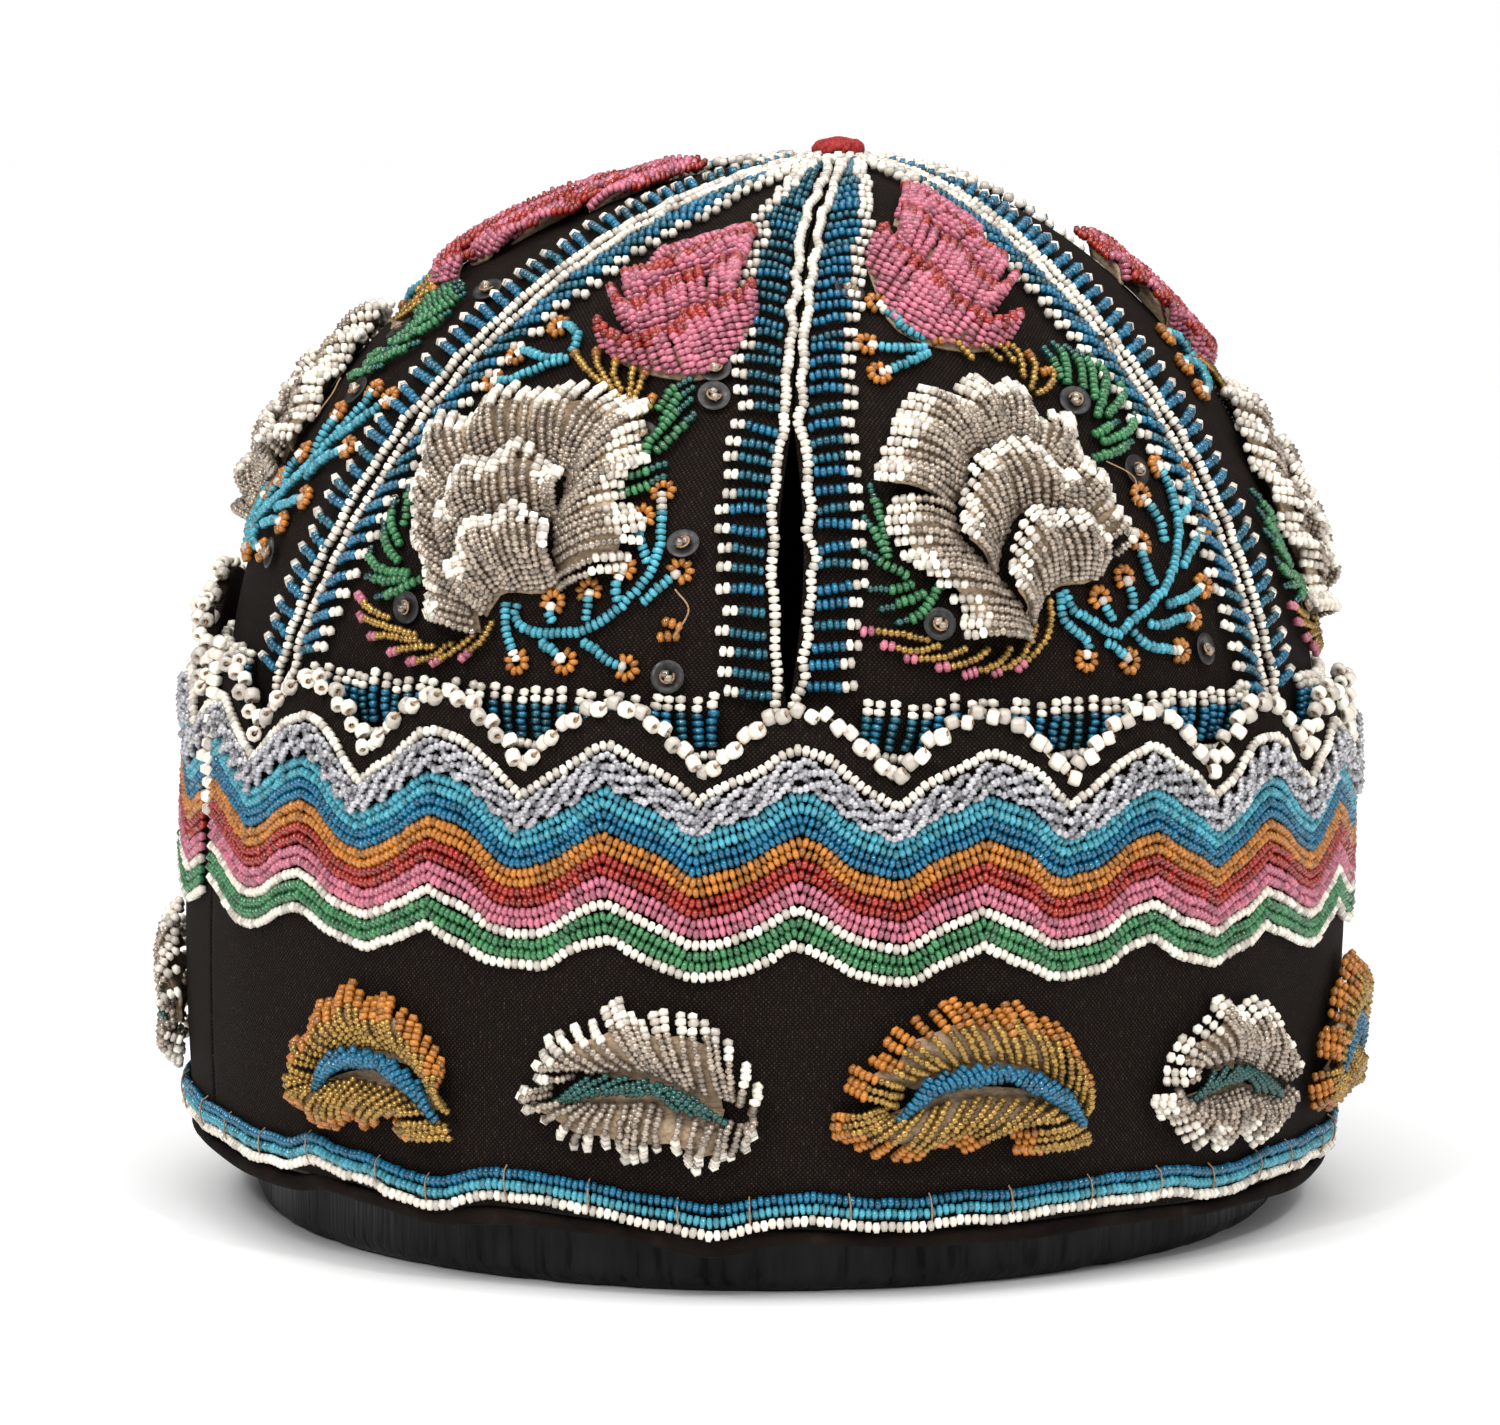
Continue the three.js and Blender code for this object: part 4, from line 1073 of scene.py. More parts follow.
base_chance = np.random.default_rng(44)
for index in range(GORE_COUNT):
    inset = (border_width(BASE_LINE) + 3.2 * MM) / CROWN_RADIUS
    left, right = seam_azimuth(index, BASE_LINE) + inset, seam_azimuth(index + 1, BASE_LINE) - inset
    count = int((right - left) * CROWN_RADIUS / (2.15 * MM))
    for azimuth in np.linspace(left, right, count) + base_chance.normal(0, 0.0035, count):
        top = BASE_STITCH_TOP + base_chance.normal(0, 0.35) * MM
        lean = base_chance.normal(0.006 if index == FRONT_SEAM else 0, 0.004)
        blue = "petrol" if base_chance.random() < 0.4 else "blue"
        stitch("base", (azimuth - lean, azimuth + lean), (BASE_STITCH_FOOT, top), blue, 5, 2, base_chance)
    azimuths = np.linspace(left - 0.02, right + 0.02, 400)
    arcs = BASE_LINE + 0.4 * MM * np.sin(azimuths * 31)
    points, outward = crown_line(azimuths, arcs, BEAD_RELIEF)
    add_beads("base", "white", thread_beads(points, outward, PITCHES["white"], STRING_WIDTH, base_chance))
bead_pieces("base")


# The flowers are raised beadwork: lanes of clear, lightly pink beads with white tips, strung over
# a card and cotton padding in ruffled tiers, each lying over the foot of the one behind.
bead_kind("rose", 0.9, 1.42, (0.36, 0.295, 0.235), "clear_beads", 0.07, Metallic=0.45)
# Stations of each tier in millimetres right of and above the flower's stem: the tip and the foot
# of its lanes, from the left round to the right. The flower leans, and its mirrored neighbour is
# a fuller one of its own pattern, with a gap in its left side where the card shows.
PLAIN_FLOWER = [
    {"lanes": 56, "rise": (1.6, 1.5, 3.0), "tips": 4,
     "tip": [(-10.5, -4), (-12.5, -1), (-11.5, 4.5), (-14.5, 8), (-14, 12.5), (-13, 17.5), (-13.5, 21.5),
             (-10.5, 26), (-5.5, 27.5), (-1.5, 30.5), (3.5, 32.5), (8.5, 31.5), (14.5, 32.5), (19, 30),
             (19, 25.5), (20.5, 21.5), (17, 18), (19, 14), (19.5, 10), (18, 5.5)],
     "foot": [(-4, -5.5), (-4.5, -2.5), (-4.5, 0), (-7.5, 4.5), (-8, 8), (-7.5, 11), (-7.5, 13), (-6, 15.5),
              (-4, 18), (-1, 20), (3, 21), (7, 20), (8.5, 19), (10, 18), (9.5, 16), (9, 14), (8.5, 12),
              (8, 9.5), (8, 6), (8.5, 1.5)]},
    {"lanes": 20, "rise": (1.8, 4.4, 2.2), "tips": 3,
     "tip": [(-7, 11), (-7.5, 13), (-4.5, 17), (-1, 19.5), (3.5, 21), (7.5, 19.5), (9.5, 17.5)],
     "foot": [(-7, 4), (-5.5, 7), (-4, 9.5), (-2, 11), (2.5, 12), (6.5, 11.5), (8.5, 11.5)]},
    {"lanes": 20, "rise": (1.2, 5.2, 2.2), "tips": 3,
     "tip": [(-5.5, 2), (-5.5, 4.5), (-3, 8), (-1, 10.5), (3.5, 11.5), (7, 11), (8, 8.5)],
     "foot": [(-3, -3), (-2, -1.5), (-0.5, 0.5), (1.5, 1), (4.5, 1), (7, 1.5), (8, 2.5)]},
]
MIRRORED_FLOWER = [
    {"lanes": 16, "rise": (1.6, 1.5, 3.0), "tips": 4,
     "tip": [(-10.5, -4), (-12, 0), (-16, 4.5), (-19.5, 7), (-21.5, 10.5), (-21.5, 15)],
     "foot": [(-1, -4.5), (-2, -1.5), (-5.5, 2.5), (-9, 6.5), (-12, 9.5), (-13, 14)]},
    {"lanes": 46, "rise": (1.6, 1.5, 3.0), "tips": 4,
     "tip": [(-23, 18.5), (-23, 22.5), (-20.5, 26), (-20.5, 29.5), (-17, 32), (-13.5, 32), (-10.5, 34),
             (-7, 34.5), (-3.5, 33.5), (-1, 29.5), (3.5, 28.5), (6, 24.5), (8, 19.5), (12, 16.5), (13, 10)],
     "foot": [(-13.5, 15), (-11, 17.5), (-11, 20.5), (-10.5, 22.5), (-9, 23.5), (-6.5, 23.5), (-5.5, 23.5),
              (-5, 23.5), (-3.5, 22.5), (-1.5, 21.5), (0.5, 20), (2.5, 18.5), (4, 15), (5.5, 11.5), (11.5, 7)]},
    {"lanes": 20, "rise": (1.8, 4.4, 2.2), "tips": 3,
     "tip": [(-12.5, 10), (-13, 15), (-11, 19), (-9, 23), (-4.5, 22.5), (0.5, 20), (2.5, 17.5)],
     "foot": [(-7, 5), (-6.5, 8), (-5.5, 10.5), (-3.5, 14), (0, 14), (3, 12.5), (4.5, 12)]},
    {"lanes": 19, "rise": (1.2, 5.2, 2.2), "tips": 3,
     "tip": [(-5.5, 2.5), (-6.5, 6.5), (-5, 10.5), (-2.5, 14), (2, 12), (5.5, 11.5), (7.5, 9)],
     "foot": [(-1, -2.5), (-0.5, -0.5), (1.5, 2.5), (4, 3.5), (7, 3.5), (8.5, 4), (9, 4.5)]},
]
# Stem of the flower in each kind of gore: azimuth from the gore's middle and arc length down. lean
# moves a point sideways by a share of its height, before size stretches both ways.
FLOWER_KINDS = {
    "plain": {"across": -2.5, "down": 114, "lean": -0.2, "size": (1.135, 1.035), "tiers": PLAIN_FLOWER},
    "mirrored": {"across": -4, "down": 113.5, "lean": 0.17, "size": (1.125, 1.035), "tiers": MIRRORED_FLOWER},
}
CARD_THICKNESS = 0.5 * MM
CARD_BELOW_BEADS = 1.0 * MM
GORE_LIFTS = [0, 0, 0, 0, 0, 9]


def through(stations, count):
    """A smooth line through stations: a cubic between each two, whose slope at a station is half
    the step from the one before it to the one after."""
    stations = np.asarray(stations, float)
    place = np.linspace(0, len(stations) - 1, count)
    i = np.minimum(place.astype(int), len(stations) - 2)
    t = (place - i)[:, None]
    before, after = 2 * stations[:1] - stations[1:2], 2 * stations[-1:] - stations[-2:-1]
    padded = np.concatenate([before, stations, after])
    a, b, c, d = padded[i], padded[i + 1], padded[i + 2], padded[i + 3]
    return 0.5 * (2 * b + (c - a) * t + (2 * a - 5 * b + 4 * c - d) * t**2 + (3 * b - a - 3 * c + d) * t**3)


def leaned(points, lean, size):
    """Points moved sideways by the lean's share of their height, then stretched both ways."""
    points = np.asarray(points, float)
    return np.stack([(points[:, 0] + lean * points[:, 1]) * size[0], points[:, 1] * size[1]], -1)


def turned(points, degrees):
    """Points turned counterclockwise about their origin."""
    angle = math.radians(degrees)
    x, y = points[:, 0], points[:, 1]
    cosine, sine = math.cos(angle), math.sin(angle)
    return np.stack([x * cosine - y * sine, x * sine + y * cosine], -1)


def tipped_string(piece, line, up, colour, tip_colour, tips, chance):
    """Beads along a line of points. The last ones, at its end, have the tip's colour."""
    knots = np.arange(len(line))
    length = np.linalg.norm(np.diff(line, axis=0), axis=1).sum()
    split = max(1 - tips * PITCHES[tip_colour] / length, 0.05) * knots[-1]
    for name, low, high in ((colour, 0, split), (tip_colour, split, knots[-1])):
        if high > low:
            grid = np.linspace(low, high, len(line))
            add_row(piece, name, along(line, knots, grid), along(up, knots, grid), chance, 0.05)


def lane(piece, place, foot, tip, rise, colour, tip_colour, tips, chance):
    """A lane of beads from its foot to its tip. Its height goes evenly from the foot's to the
    tip's, plus a sine arch. The last beads, at the tip, have the tip's colour."""
    share = np.linspace(0, 1, 11)
    x = (foot[0] + (tip[0] - foot[0]) * share) * MM
    y = (foot[1] + (tip[1] - foot[1]) * share) * MM
    out = (rise[0] + (rise[1] - rise[0]) * share + rise[2] * np.sin(math.pi * share)) * MM
    line = place(x, y, out)
    up = unit(place(x, y, out + MM) - line)
    tipped_string(piece, line, up, colour, tip_colour, tips, chance)


def gore_middle(index, arc):
    """Azimuth half way between a gore's two seams."""
    return (seam_azimuth(index, arc) + seam_azimuth(index + 1, arc)) / 2


def crown_place(index, across, down):
    """Local places round a point of a gore, in metres to its right and above it, with the
    distance off the cloth. The point is given in millimetres from the gore's middle and peak."""
    arc = down * MM
    azimuth = gore_middle(index, arc) + across * MM / crown_radius(arc)

    def place(x, y, out):
        return on_crown(azimuth + x / crown_radius(arc - y), arc - y, out)
    return place


def kind_of(index):
    """Gores take turns to have the plain and the mirrored pattern."""
    return "plain" if index % 2 == 0 else "mirrored"


def card_part(place, foot_line, tip_line, rise, reach, start=-0.04, rows=6):
    """The card under a tier of lanes, as a closed wall from the lanes' feet to a share of their
    reach. Its front is at the lanes' own height less the beads."""
    share = np.linspace(start, reach, rows)[None, :]
    foot_line, tip_line = foot_line[::2], tip_line[::2]
    x = (foot_line[:, :1] + (tip_line[:, :1] - foot_line[:, :1]) * share) * MM
    y = (foot_line[:, 1:] + (tip_line[:, 1:] - foot_line[:, 1:]) * share) * MM
    arch = rise[0] + (rise[1] - rise[0]) * share + rise[2] * np.sin(math.pi * np.clip(share, 0, 1))
    out = np.maximum(arch * MM - CARD_BELOW_BEADS, CARD_THICKNESS) + 0 * x
    return wall_part(place(x, y, out), place(x, y, np.maximum(out - CARD_THICKNESS, 0.05 * MM)))


def card_material(name, color):
    """Old card: fibres from stretched noise, from a darker to a lighter tone of its colour."""
    dark = tuple(0.55 * share for share in color)
    light = tuple(min(1.25 * share, 1) for share in color)
    return fibrous(name, color, 0.85, (900, 5, (1, 1, 2.5)), [(0.3, dark), (0.7, light)], 0.12 * MM)[0]


def card_piece(name, parts):
    """One object of all the cards under a group of motifs."""
    card = new_object(name, join_mesh(name, parts))
    card.data.materials.append(card_stock)
    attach(card, "root")


card_stock = card_material("beige_card", (0.42, 0.30, 0.19))
flower_chance = np.random.default_rng(45)
flower_cards = []
for index in range(GORE_COUNT):
    kind = FLOWER_KINDS[kind_of(index)]
    place = crown_place(index, kind["across"], kind["down"] - GORE_LIFTS[index])
    for tier in kind["tiers"]:
        tip_line = leaned(through(tier["tip"], tier["lanes"]), kind["lean"], kind["size"])
        foot_line = leaned(through(tier["foot"], tier["lanes"]), kind["lean"], kind["size"])
        flower_cards.append(card_part(place, foot_line, tip_line, tier["rise"], 0.8))
        ruffle = np.cos(np.arange(tier["lanes"]) * 2 * math.pi / 6.5)
        for number in range(tier["lanes"]):
            rise = np.array(tier["rise"]) + (0, 0.8 * ruffle[number], 0.4 * ruffle[number])
            foot = foot_line[number] + flower_chance.normal(0, 0.15, 2)
            reach = 1 + 0.06 * ruffle[number]
            tip = foot + reach * (tip_line[number] - foot) + flower_chance.normal(0, 0.2, 2)
            tips = tier["tips"] + flower_chance.integers(-1, 2)
            lane("flowers", place, foot, tip, rise, "rose", "white", tips, flower_chance)
bead_pieces("flowers", *(f"flower_{index + 1}" for index in range(GORE_COUNT)))
card_piece("flower_cards", flower_cards)


# Above each flower is a bud of short slanted lanes over card, in four overlapping tiers: pink
# opaque beads, with red ones at the lanes' tips.
BUD_TIERS = [
    {"lanes": 12, "rise": (1.0, 1.4, 1.6), "tips": 2,
     "tip": [(-0.5, 7), (3, 8.5), (6, 9.5), (8.5, 11), (10.5, 11.5)],
     "foot": [(-3.5, 4), (-0.5, 5), (2, 6.5), (6, 8), (9.5, 9)]},
    {"lanes": 20, "rise": (1.3, 2.4, 1.6), "tips": 3,
     "tip": [(-7.5, 2.5), (-4, 3), (0.5, 5), (6, 8), (11, 10.5)],
     "foot": [(-6.5, -2.5), (-2, 1), (3, 3), (7.5, 5), (10, 6)]},
    {"lanes": 20, "rise": (1.3, 3.0, 1.6), "tips": 3,
     "tip": [(-10, -0.5), (-7, -3), (-2.5, -0.5), (1, 1.5), (7.5, 4.5), (9.5, 5)],
     "foot": [(-8.5, -3.5), (-6, -6), (-2, -5), (2, -3), (7, -0.5), (8.5, 0.5)]},
    {"lanes": 21, "rise": (1.2, 3.4, 1.6), "tips": 3,
     "tip": [(-11.5, -5.5), (-8, -7.5), (-4, -7), (0, -5.5), (2.5, -3.5), (7.5, -2), (11, 0.5)],
     "foot": [(-11, -8), (-7.5, -10), (-2, -11), (2, -11), (5.5, -10), (8.5, -7), (11.5, -3)]},
]
# The buds sit high on the crown, so their lean and height are those of the cloth, not the picture.
BUD_KINDS = {
    "plain": {"across": 2.5, "down": 61.5, "side": 1, "turn": 0, "lean": -0.5, "size": (1.05, 1.45)},
    "mirrored": {"across": 2, "down": 52, "side": -1, "turn": -16, "lean": 0.45, "size": (1.13, 1.65)},
}

# Share of their length by which lanes run on under the tier in front of them.
BUD_UNDERLAP = 0.3

bud_chance = np.random.default_rng(46)
bud_cards = []
for index in range(GORE_COUNT):
    kind = BUD_KINDS[kind_of(index)]
    place = crown_place(index, kind["across"], kind["down"] - GORE_LIFTS[index])
    for tier in BUD_TIERS:
        tip_line, foot_line = (
            leaned(turned(through(tier[end], tier["lanes"]) * (kind["side"], 1), kind["turn"]),
                   kind["lean"], kind["size"])
            for end in ("tip", "foot"))
        if tier is not BUD_TIERS[-1]:
            foot_line = foot_line - BUD_UNDERLAP * (tip_line - foot_line)
        order = slice(None, None, kind["side"])
        bud_cards.append(card_part(place, foot_line[order], tip_line[order], tier["rise"], 0.5))
        for number in range(tier["lanes"]):
            tip = tip_line[number] + bud_chance.normal(0, 0.2, 2)
            foot = foot_line[number] + bud_chance.normal(0, 0.15, 2)
            tips = tier["tips"] + bud_chance.integers(-1, 2)
            lane("buds", place, foot, tip, tier["rise"], "pink", "red", tips, bud_chance)
bead_pieces("buds", *(f"bud_{index + 1}" for index in range(GORE_COUNT)))
card_piece("bud_cards", bud_cards)


# The leaves on the band are raised like the flowers: slanted lanes over card on both sides of a
# vein of slanted strings. White leaves have clear lanes and a teal vein, gold ones a blue vein.
bead_kind("teal", 0.85, 1.35, (0.002, 0.055, 0.046), roughness=0.1)
bead_kind("gold", 0.9, 1.4, (0.34, 0.20, 0.045), roughness=0.12, Metallic=0.55)
LEAF_SIDES = {
    "white": [
        {"lanes": 21, "tips": 3,
         "tip": [(-16, 0), (-15, 3.5), (-13, 6.5), (-8.5, 8), (-5, 11), (-3, 12), (0, 9.5), (3.5, 10.5),
                 (6.5, 11), (10, 9), (13.5, 6), (17.5, 0.5)],
         "foot": [(-9.5, 1), (-9, 2), (-5, 1.5), (-2, 2), (1, 2), (3, 1.5), (5, 1), (7, 0), (9, -0.5),
                  (12.5, -1.5), (14, -2), (16.5, -3)]},
        {"lanes": 23, "tips": 2,
         "tip": [(-17.5, -2), (-17.5, -4.5), (-15.5, -5.5), (-11.5, -8.5), (-8.5, -10), (-3.5, -9.5),
                 (-1.5, -11.5), (1, -11), (4.5, -9.5), (7.5, -11.5), (9, -12.5), (11.5, -11), (14, -10),
                 (17, -7)],
         "foot": [(-13, -1), (-12, -3), (-9, -3), (-7, -3), (-5, -3), (-2.5, -3), (0, -2.5), (2, -2.5),
                  (5, -3.5), (9, -4.5), (11, -4.5), (13, -4.5), (15.5, -5), (17, -4)]},
    ],
    "gold": [
        {"lanes": 24, "tips": 4,
         "tip": [(-18.5, -1.5), (-18.5, 1.5), (-14, 3.5), (-13, 7.5), (-7.5, 9.5), (-4.5, 12), (-0.5, 11),
                 (3.5, 10), (4.5, 11.5), (9, 9), (13, 7.5), (15.5, 4), (16.5, 1)],
         "foot": [(-11.5, -3.5), (-10.5, -1), (-7, 1), (-4.5, 1.5), (-1.5, 2.5), (1.5, 2.5), (4.5, 2.5),
                  (7.5, 2.5), (10, 1.5), (13, -0.5), (15, -2.5), (17, -4.5), (18.5, -6)]},
        {"lanes": 21, "tips": 3,
         "tip": [(-20.5, -5), (-20.5, -8.5), (-16, -10.5), (-10.5, -12), (-6.5, -10.5), (-3, -9),
                 (-0.5, -10.5), (5.5, -7), (6.5, -9.5), (7.5, -11)],
         "foot": [(-13, -3.5), (-12, -5), (-8.5, -4), (-4.5, -3.5), (0, -2.5), (4.5, -3), (10, -3.5),
                  (14.5, -5.5), (18, -8), (19, -9.5)]},
    ],
}
LEAF_VEINS = {
    "white": [(-12.5, -2.5), (-5, 0), (2.5, -0.5), (6.5, -2), (13, -3.5)],
    "gold": [(-11.5, -4.5), (-7, -0.5), (-1.5, 1), (3.5, 0.5), (8.5, -0.5), (13.5, -3), (17, -6)],
}
LEAF_COLOURS = {"white": ("rose", "white", "teal"), "gold": ("gold", "orange", "blue")}
# Leaves round the band: degrees of azimuth, level in millimetres, and width and height shares.
BAND_LEAVES = {
    "azimuth": [-38.5, -11, 19, 48, 77, 106, 135, 164, 193, 221, 247, 271],
    "level": [31.5, 32.5, 34, 31.5, 32, 32, 33, 32.5, 32, 33, 32.5, 32],
    "width": [0.83, 1.0, 1.0, 0.9, 0.95, 0.95, 1.0, 1.0, 0.97, 0.97, 0.95, 0.97],
    "height": [0.95, 1.02, 1.0, 1.0, 1.0, 1.0, 0.97, 1.0, 0.98, 1.0, 1.0, 1.04],
}


def band_place(azimuth, level):
    """Local places round a point of the band, in metres to its right and above it."""
    def place(x, y, out):
        return on_band(azimuth + x / BAND_RADIUS, level + y, out)
    return place


def vein(place, stations, colour, chance):
    """A vein of strings of about eight beads that lie slanted across a smooth line, side by side:
    they rise towards the right in its left part, and fall in its right part."""
    line = through(stations, 60)
    length = np.linalg.norm(np.diff(line, axis=0), axis=1).sum()
    count = int(length / 2.3)
    for number in range(count):
        low, high = (number - 1.1) / count, (number + 2.1) / count
        start, stop = along(line, np.linspace(0, 1, len(line)), np.clip([low, high], 0, 1))
        lean = np.array([0, 1.3 if number < 0.5 * count else -1.3])
        share = np.linspace(0, 1, 9)
        x = (start[0] - lean[0] + (stop[0] - start[0] + 2 * lean[0]) * share) * MM
        y = (start[1] - lean[1] + (stop[1] - start[1] + 2 * lean[1]) * share) * MM
        out = (3.2 + 0.4 * share + 0.9 * np.sin(math.pi * share)) * MM
        points = place(x, y, out)
        add_row("leaves", colour, points, unit(place(x, y, out + MM) - points), chance)


leaf_chance = np.random.default_rng(47)
leaf_cards = []
LEAF_RISE = (2.4, 1.4, 2.9)
# Lanes that have card under them, and how much of their reach it covers, from start to end.
CARDED_LANES = slice(2, -4)
LEAF_CARD_START, LEAF_CARD_END = -0.2, 0.7
for number, (azimuth, level, width, height) in enumerate(zip(*BAND_LEAVES.values())):
    kind = "gold" if number % 2 == 0 else "white"
    place = band_place(math.radians(azimuth), level * MM)
    main, tip_colour, vein_colour = LEAF_COLOURS[kind]
    for side, order in zip(LEAF_SIDES[kind], (slice(None), slice(None, None, -1))):
        tip_line = through(side["tip"], side["lanes"]) * (width, height)
        foot_line = through(side["foot"], side["lanes"]) * (width, height)
        leaf_cards.append(card_part(place, foot_line[CARDED_LANES][order], tip_line[CARDED_LANES][order],
                                    LEAF_RISE, LEAF_CARD_END, LEAF_CARD_START))
        for tip, foot in zip(tip_line, foot_line):
            tip = tip + leaf_chance.normal(0, 0.3, 2)
            foot = foot + leaf_chance.normal(0, 0.2, 2)
            tips = max(side["tips"] + leaf_chance.integers(-1, 2), 1)
            lane("leaves", place, foot, tip, LEAF_RISE, main, tip_colour, tips, leaf_chance)
    vein(place, np.array(LEAF_VEINS[kind]) * (width, height), vein_colour, leaf_chance)
bead_pieces("leaves", *(f"band_leaf_{number + 1}" for number in range(len(BAND_LEAVES["azimuth"]))))
card_piece("leaf_cards", leaf_cards)


# Beside and above each flower a branch of turquoise beads curves over the cloth. Every twig ends
# in a small ring of orange beads with white ones in its middle, and all of it is couched down.
# Stations are millimetres right of the gore's middle and down from the peak, and the last one of
# a twig is the middle of its ring.
TWIGS = {
    "plain": [
        [(0.5, 115), (1, 117.5), (4.5, 119), (9.5, 119), (13, 118), (16.5, 115), (18.5, 111.5),
         (19.5, 108.5), (19, 104.5), (16.5, 97)],
        [(18.5, 108), (17, 106), (16, 104.5), (15, 101)],
        [(-1.5, 115), (-0.5, 118), (1, 120.5), (3, 123.5)],
        [(6, 120.5), (8.5, 121.5), (10.5, 123)],
        [(12.5, 120), (14.5, 121), (18, 123), (20, 123.5)],
        [(7, 117.5), (6, 116), (6, 114.5)],
        [(12, 117), (11.5, 114), (11, 112.5)],
        [(16, 114), (15, 112), (15, 109)],
        [(19.5, 114), (21.5, 111.5), (23.5, 109)],
        [(-8, 75), (-10.5, 76.5), (-13.5, 78.5), (-16.5, 80), (-19.5, 80)],
        [(-8, 74), (-8.5, 71), (-11.5, 69), (-13, 69)],
        [(-9, 75), (-12, 75.5), (-16, 74.5), (-17.5, 75)],
    ],
    "mirrored": [
        [(0, 111.5), (-0.5, 115.5), (1, 117.5), (3, 119), (2.5, 121.5)],
        [(1, 111), (1.5, 114), (4.5, 116), (8.5, 118), (12, 116), (17, 113.5), (21.5, 110),
         (25, 105.5), (27, 101), (27.5, 95), (26.5, 92.5)],
        [(27, 101), (30, 99.5), (32, 97), (33, 93.5)],
        [(23, 104.5), (22.5, 101), (20.5, 97)],
        [(25.5, 108.5), (28.5, 105.5), (33, 102.5)],
        [(18.5, 111), (17, 107.5), (17.5, 104.5)],
        [(20, 114), (25, 113), (29.5, 111.5)],
        [(13, 114.5), (13, 112), (12.5, 109.5)],
        [(15.5, 116.5), (17.5, 117), (22.5, 116), (25.5, 116)],
        [(8.5, 116), (7.5, 114), (7, 112.5)],
        [(12, 117.5), (14.5, 120), (21.5, 121)],
        [(6.5, 119), (8.5, 120.5), (10.5, 122)],
        [(-8, 69), (-10.5, 68), (-11.5, 65.5), (-13, 62)],
        [(-8.5, 71), (-13, 71.5), (-17.5, 70.5)],
        [(-8.5, 72), (-12, 74), (-17.5, 76)],
    ],
}
RING_RADIUS = 1.4 * MM
RING_BEADS = 7
RING_BEAD_SHARE = 0.92
RING_OPENING = math.radians(38)
STRING_ARCH = 0.5 * MM


def gore_line(index, stations, lift=0.0):
    """A smooth line through stations of a gore, lying a bead's relief off the cloth and arched
    between its ends by a sine."""
    count = 6 * len(stations)
    right, down = through(stations, count).T * MM
    arc = down - GORE_LIFTS[index] * MM
    azimuth = gore_middle(index, arc) + right / crown_radius(arc)
    arch = STRING_ARCH * np.sin(math.pi * np.linspace(0, 1, count))
    return crown_line(azimuth, arc, BEAD_RELIEF + lift + arch)


def bead_ring(piece, middle, up, towards, chance):
    """A ring of orange beads about a point, open towards a direction in the cloth's plane."""
    ahead = unit(towards - (towards * up).sum() * up)
    beside = np.cross(up, ahead)
    turn = np.linspace(RING_OPENING, 2 * math.pi - RING_OPENING, 24)[:, None]
    line = middle + RING_RADIUS * (np.cos(turn) * ahead + np.sin(turn) * beside)
    length = RING_RADIUS * (2 * math.pi - 2 * RING_OPENING)
    width = RING_BEAD_SHARE * WIDTHS["orange"]
    add_beads(piece, "orange", thread_beads(line, np.tile(up, (24, 1)), length / RING_BEADS, width, chance))


branch_chance = np.random.default_rng(48)
for index in range(GORE_COUNT):
    for stations in TWIGS[kind_of(index)]:
        points, outward = gore_line(index, stations)
        tipped_string("branches", points, outward, "turquoise", "white", 1.4, branch_chance)
        bead_ring("branches", points[-1], outward[-1], points[-3] - points[-1], branch_chance)
bead_pieces("branches")


# Green leaves, green sprigs and gold sprays stand round each flower. Each is a fan of short strings
# whose first beads have another colour: teal on green, orange on the gold above the flower, and
# pink on the gold below it. Stations run from the tip to the root.
GREEN_STRINGS = {
    "plain": [
        [(14.5, 81.5), (13, 85.5), (11.5, 89.5), (12, 91.5)], [(14, 79.5), (12.5, 82.5), (12, 86)],
        [(13, 78), (11, 81), (10.5, 84)], [(16, 84), (15, 87.5), (13, 91)],
        [(16, 94.5), (13, 97), (9.5, 98)], [(15.5, 92.5), (12.5, 94.5), (9.5, 95)],
        [(-27, 97.5), (-25, 101.5), (-24.5, 105)], [(-28.5, 100.5), (-27, 104.5), (-24, 108)],
        [(-29.5, 104), (-26.5, 108), (-23, 110.5)], [(-30, 108.5), (-29, 110.5), (-25, 112), (-20, 112)],
        [(-29.5, 113), (-24.5, 113.5), (-20, 113)], [(-26, 116), (-21.5, 115), (-17.5, 112.5)],
    ],
    "mirrored": [
        [(11.5, 71), (12, 74), (12.5, 77)], [(13.5, 70), (14.5, 73), (13.5, 78)],
        [(16, 70.5), (17, 74.5), (16, 79)], [(18, 71.5), (19, 75.5), (17.5, 81)],
        [(20.5, 72.5), (21.5, 77), (16.5, 84)], [(23.5, 76.5), (24, 80), (18.5, 84)],
        [(21, 84.5), (17.5, 86), (14.5, 87)], [(25.5, 83), (22, 86.5), (15.5, 88.5)],
        [(22, 88), (18, 90), (12.5, 91)],
        [(-25.5, 95), (-25.5, 100.5), (-26, 106.5)], [(-28, 100), (-27, 102.5), (-26, 105.5)],
        [(-29.5, 105), (-26.5, 107.5), (-23.5, 109)], [(-30, 111), (-26, 111), (-23, 110)],
        [(-29, 114), (-25.5, 113), (-21.5, 111.5)], [(-27, 116), (-23, 114.5), (-19, 110)],
    ],
}
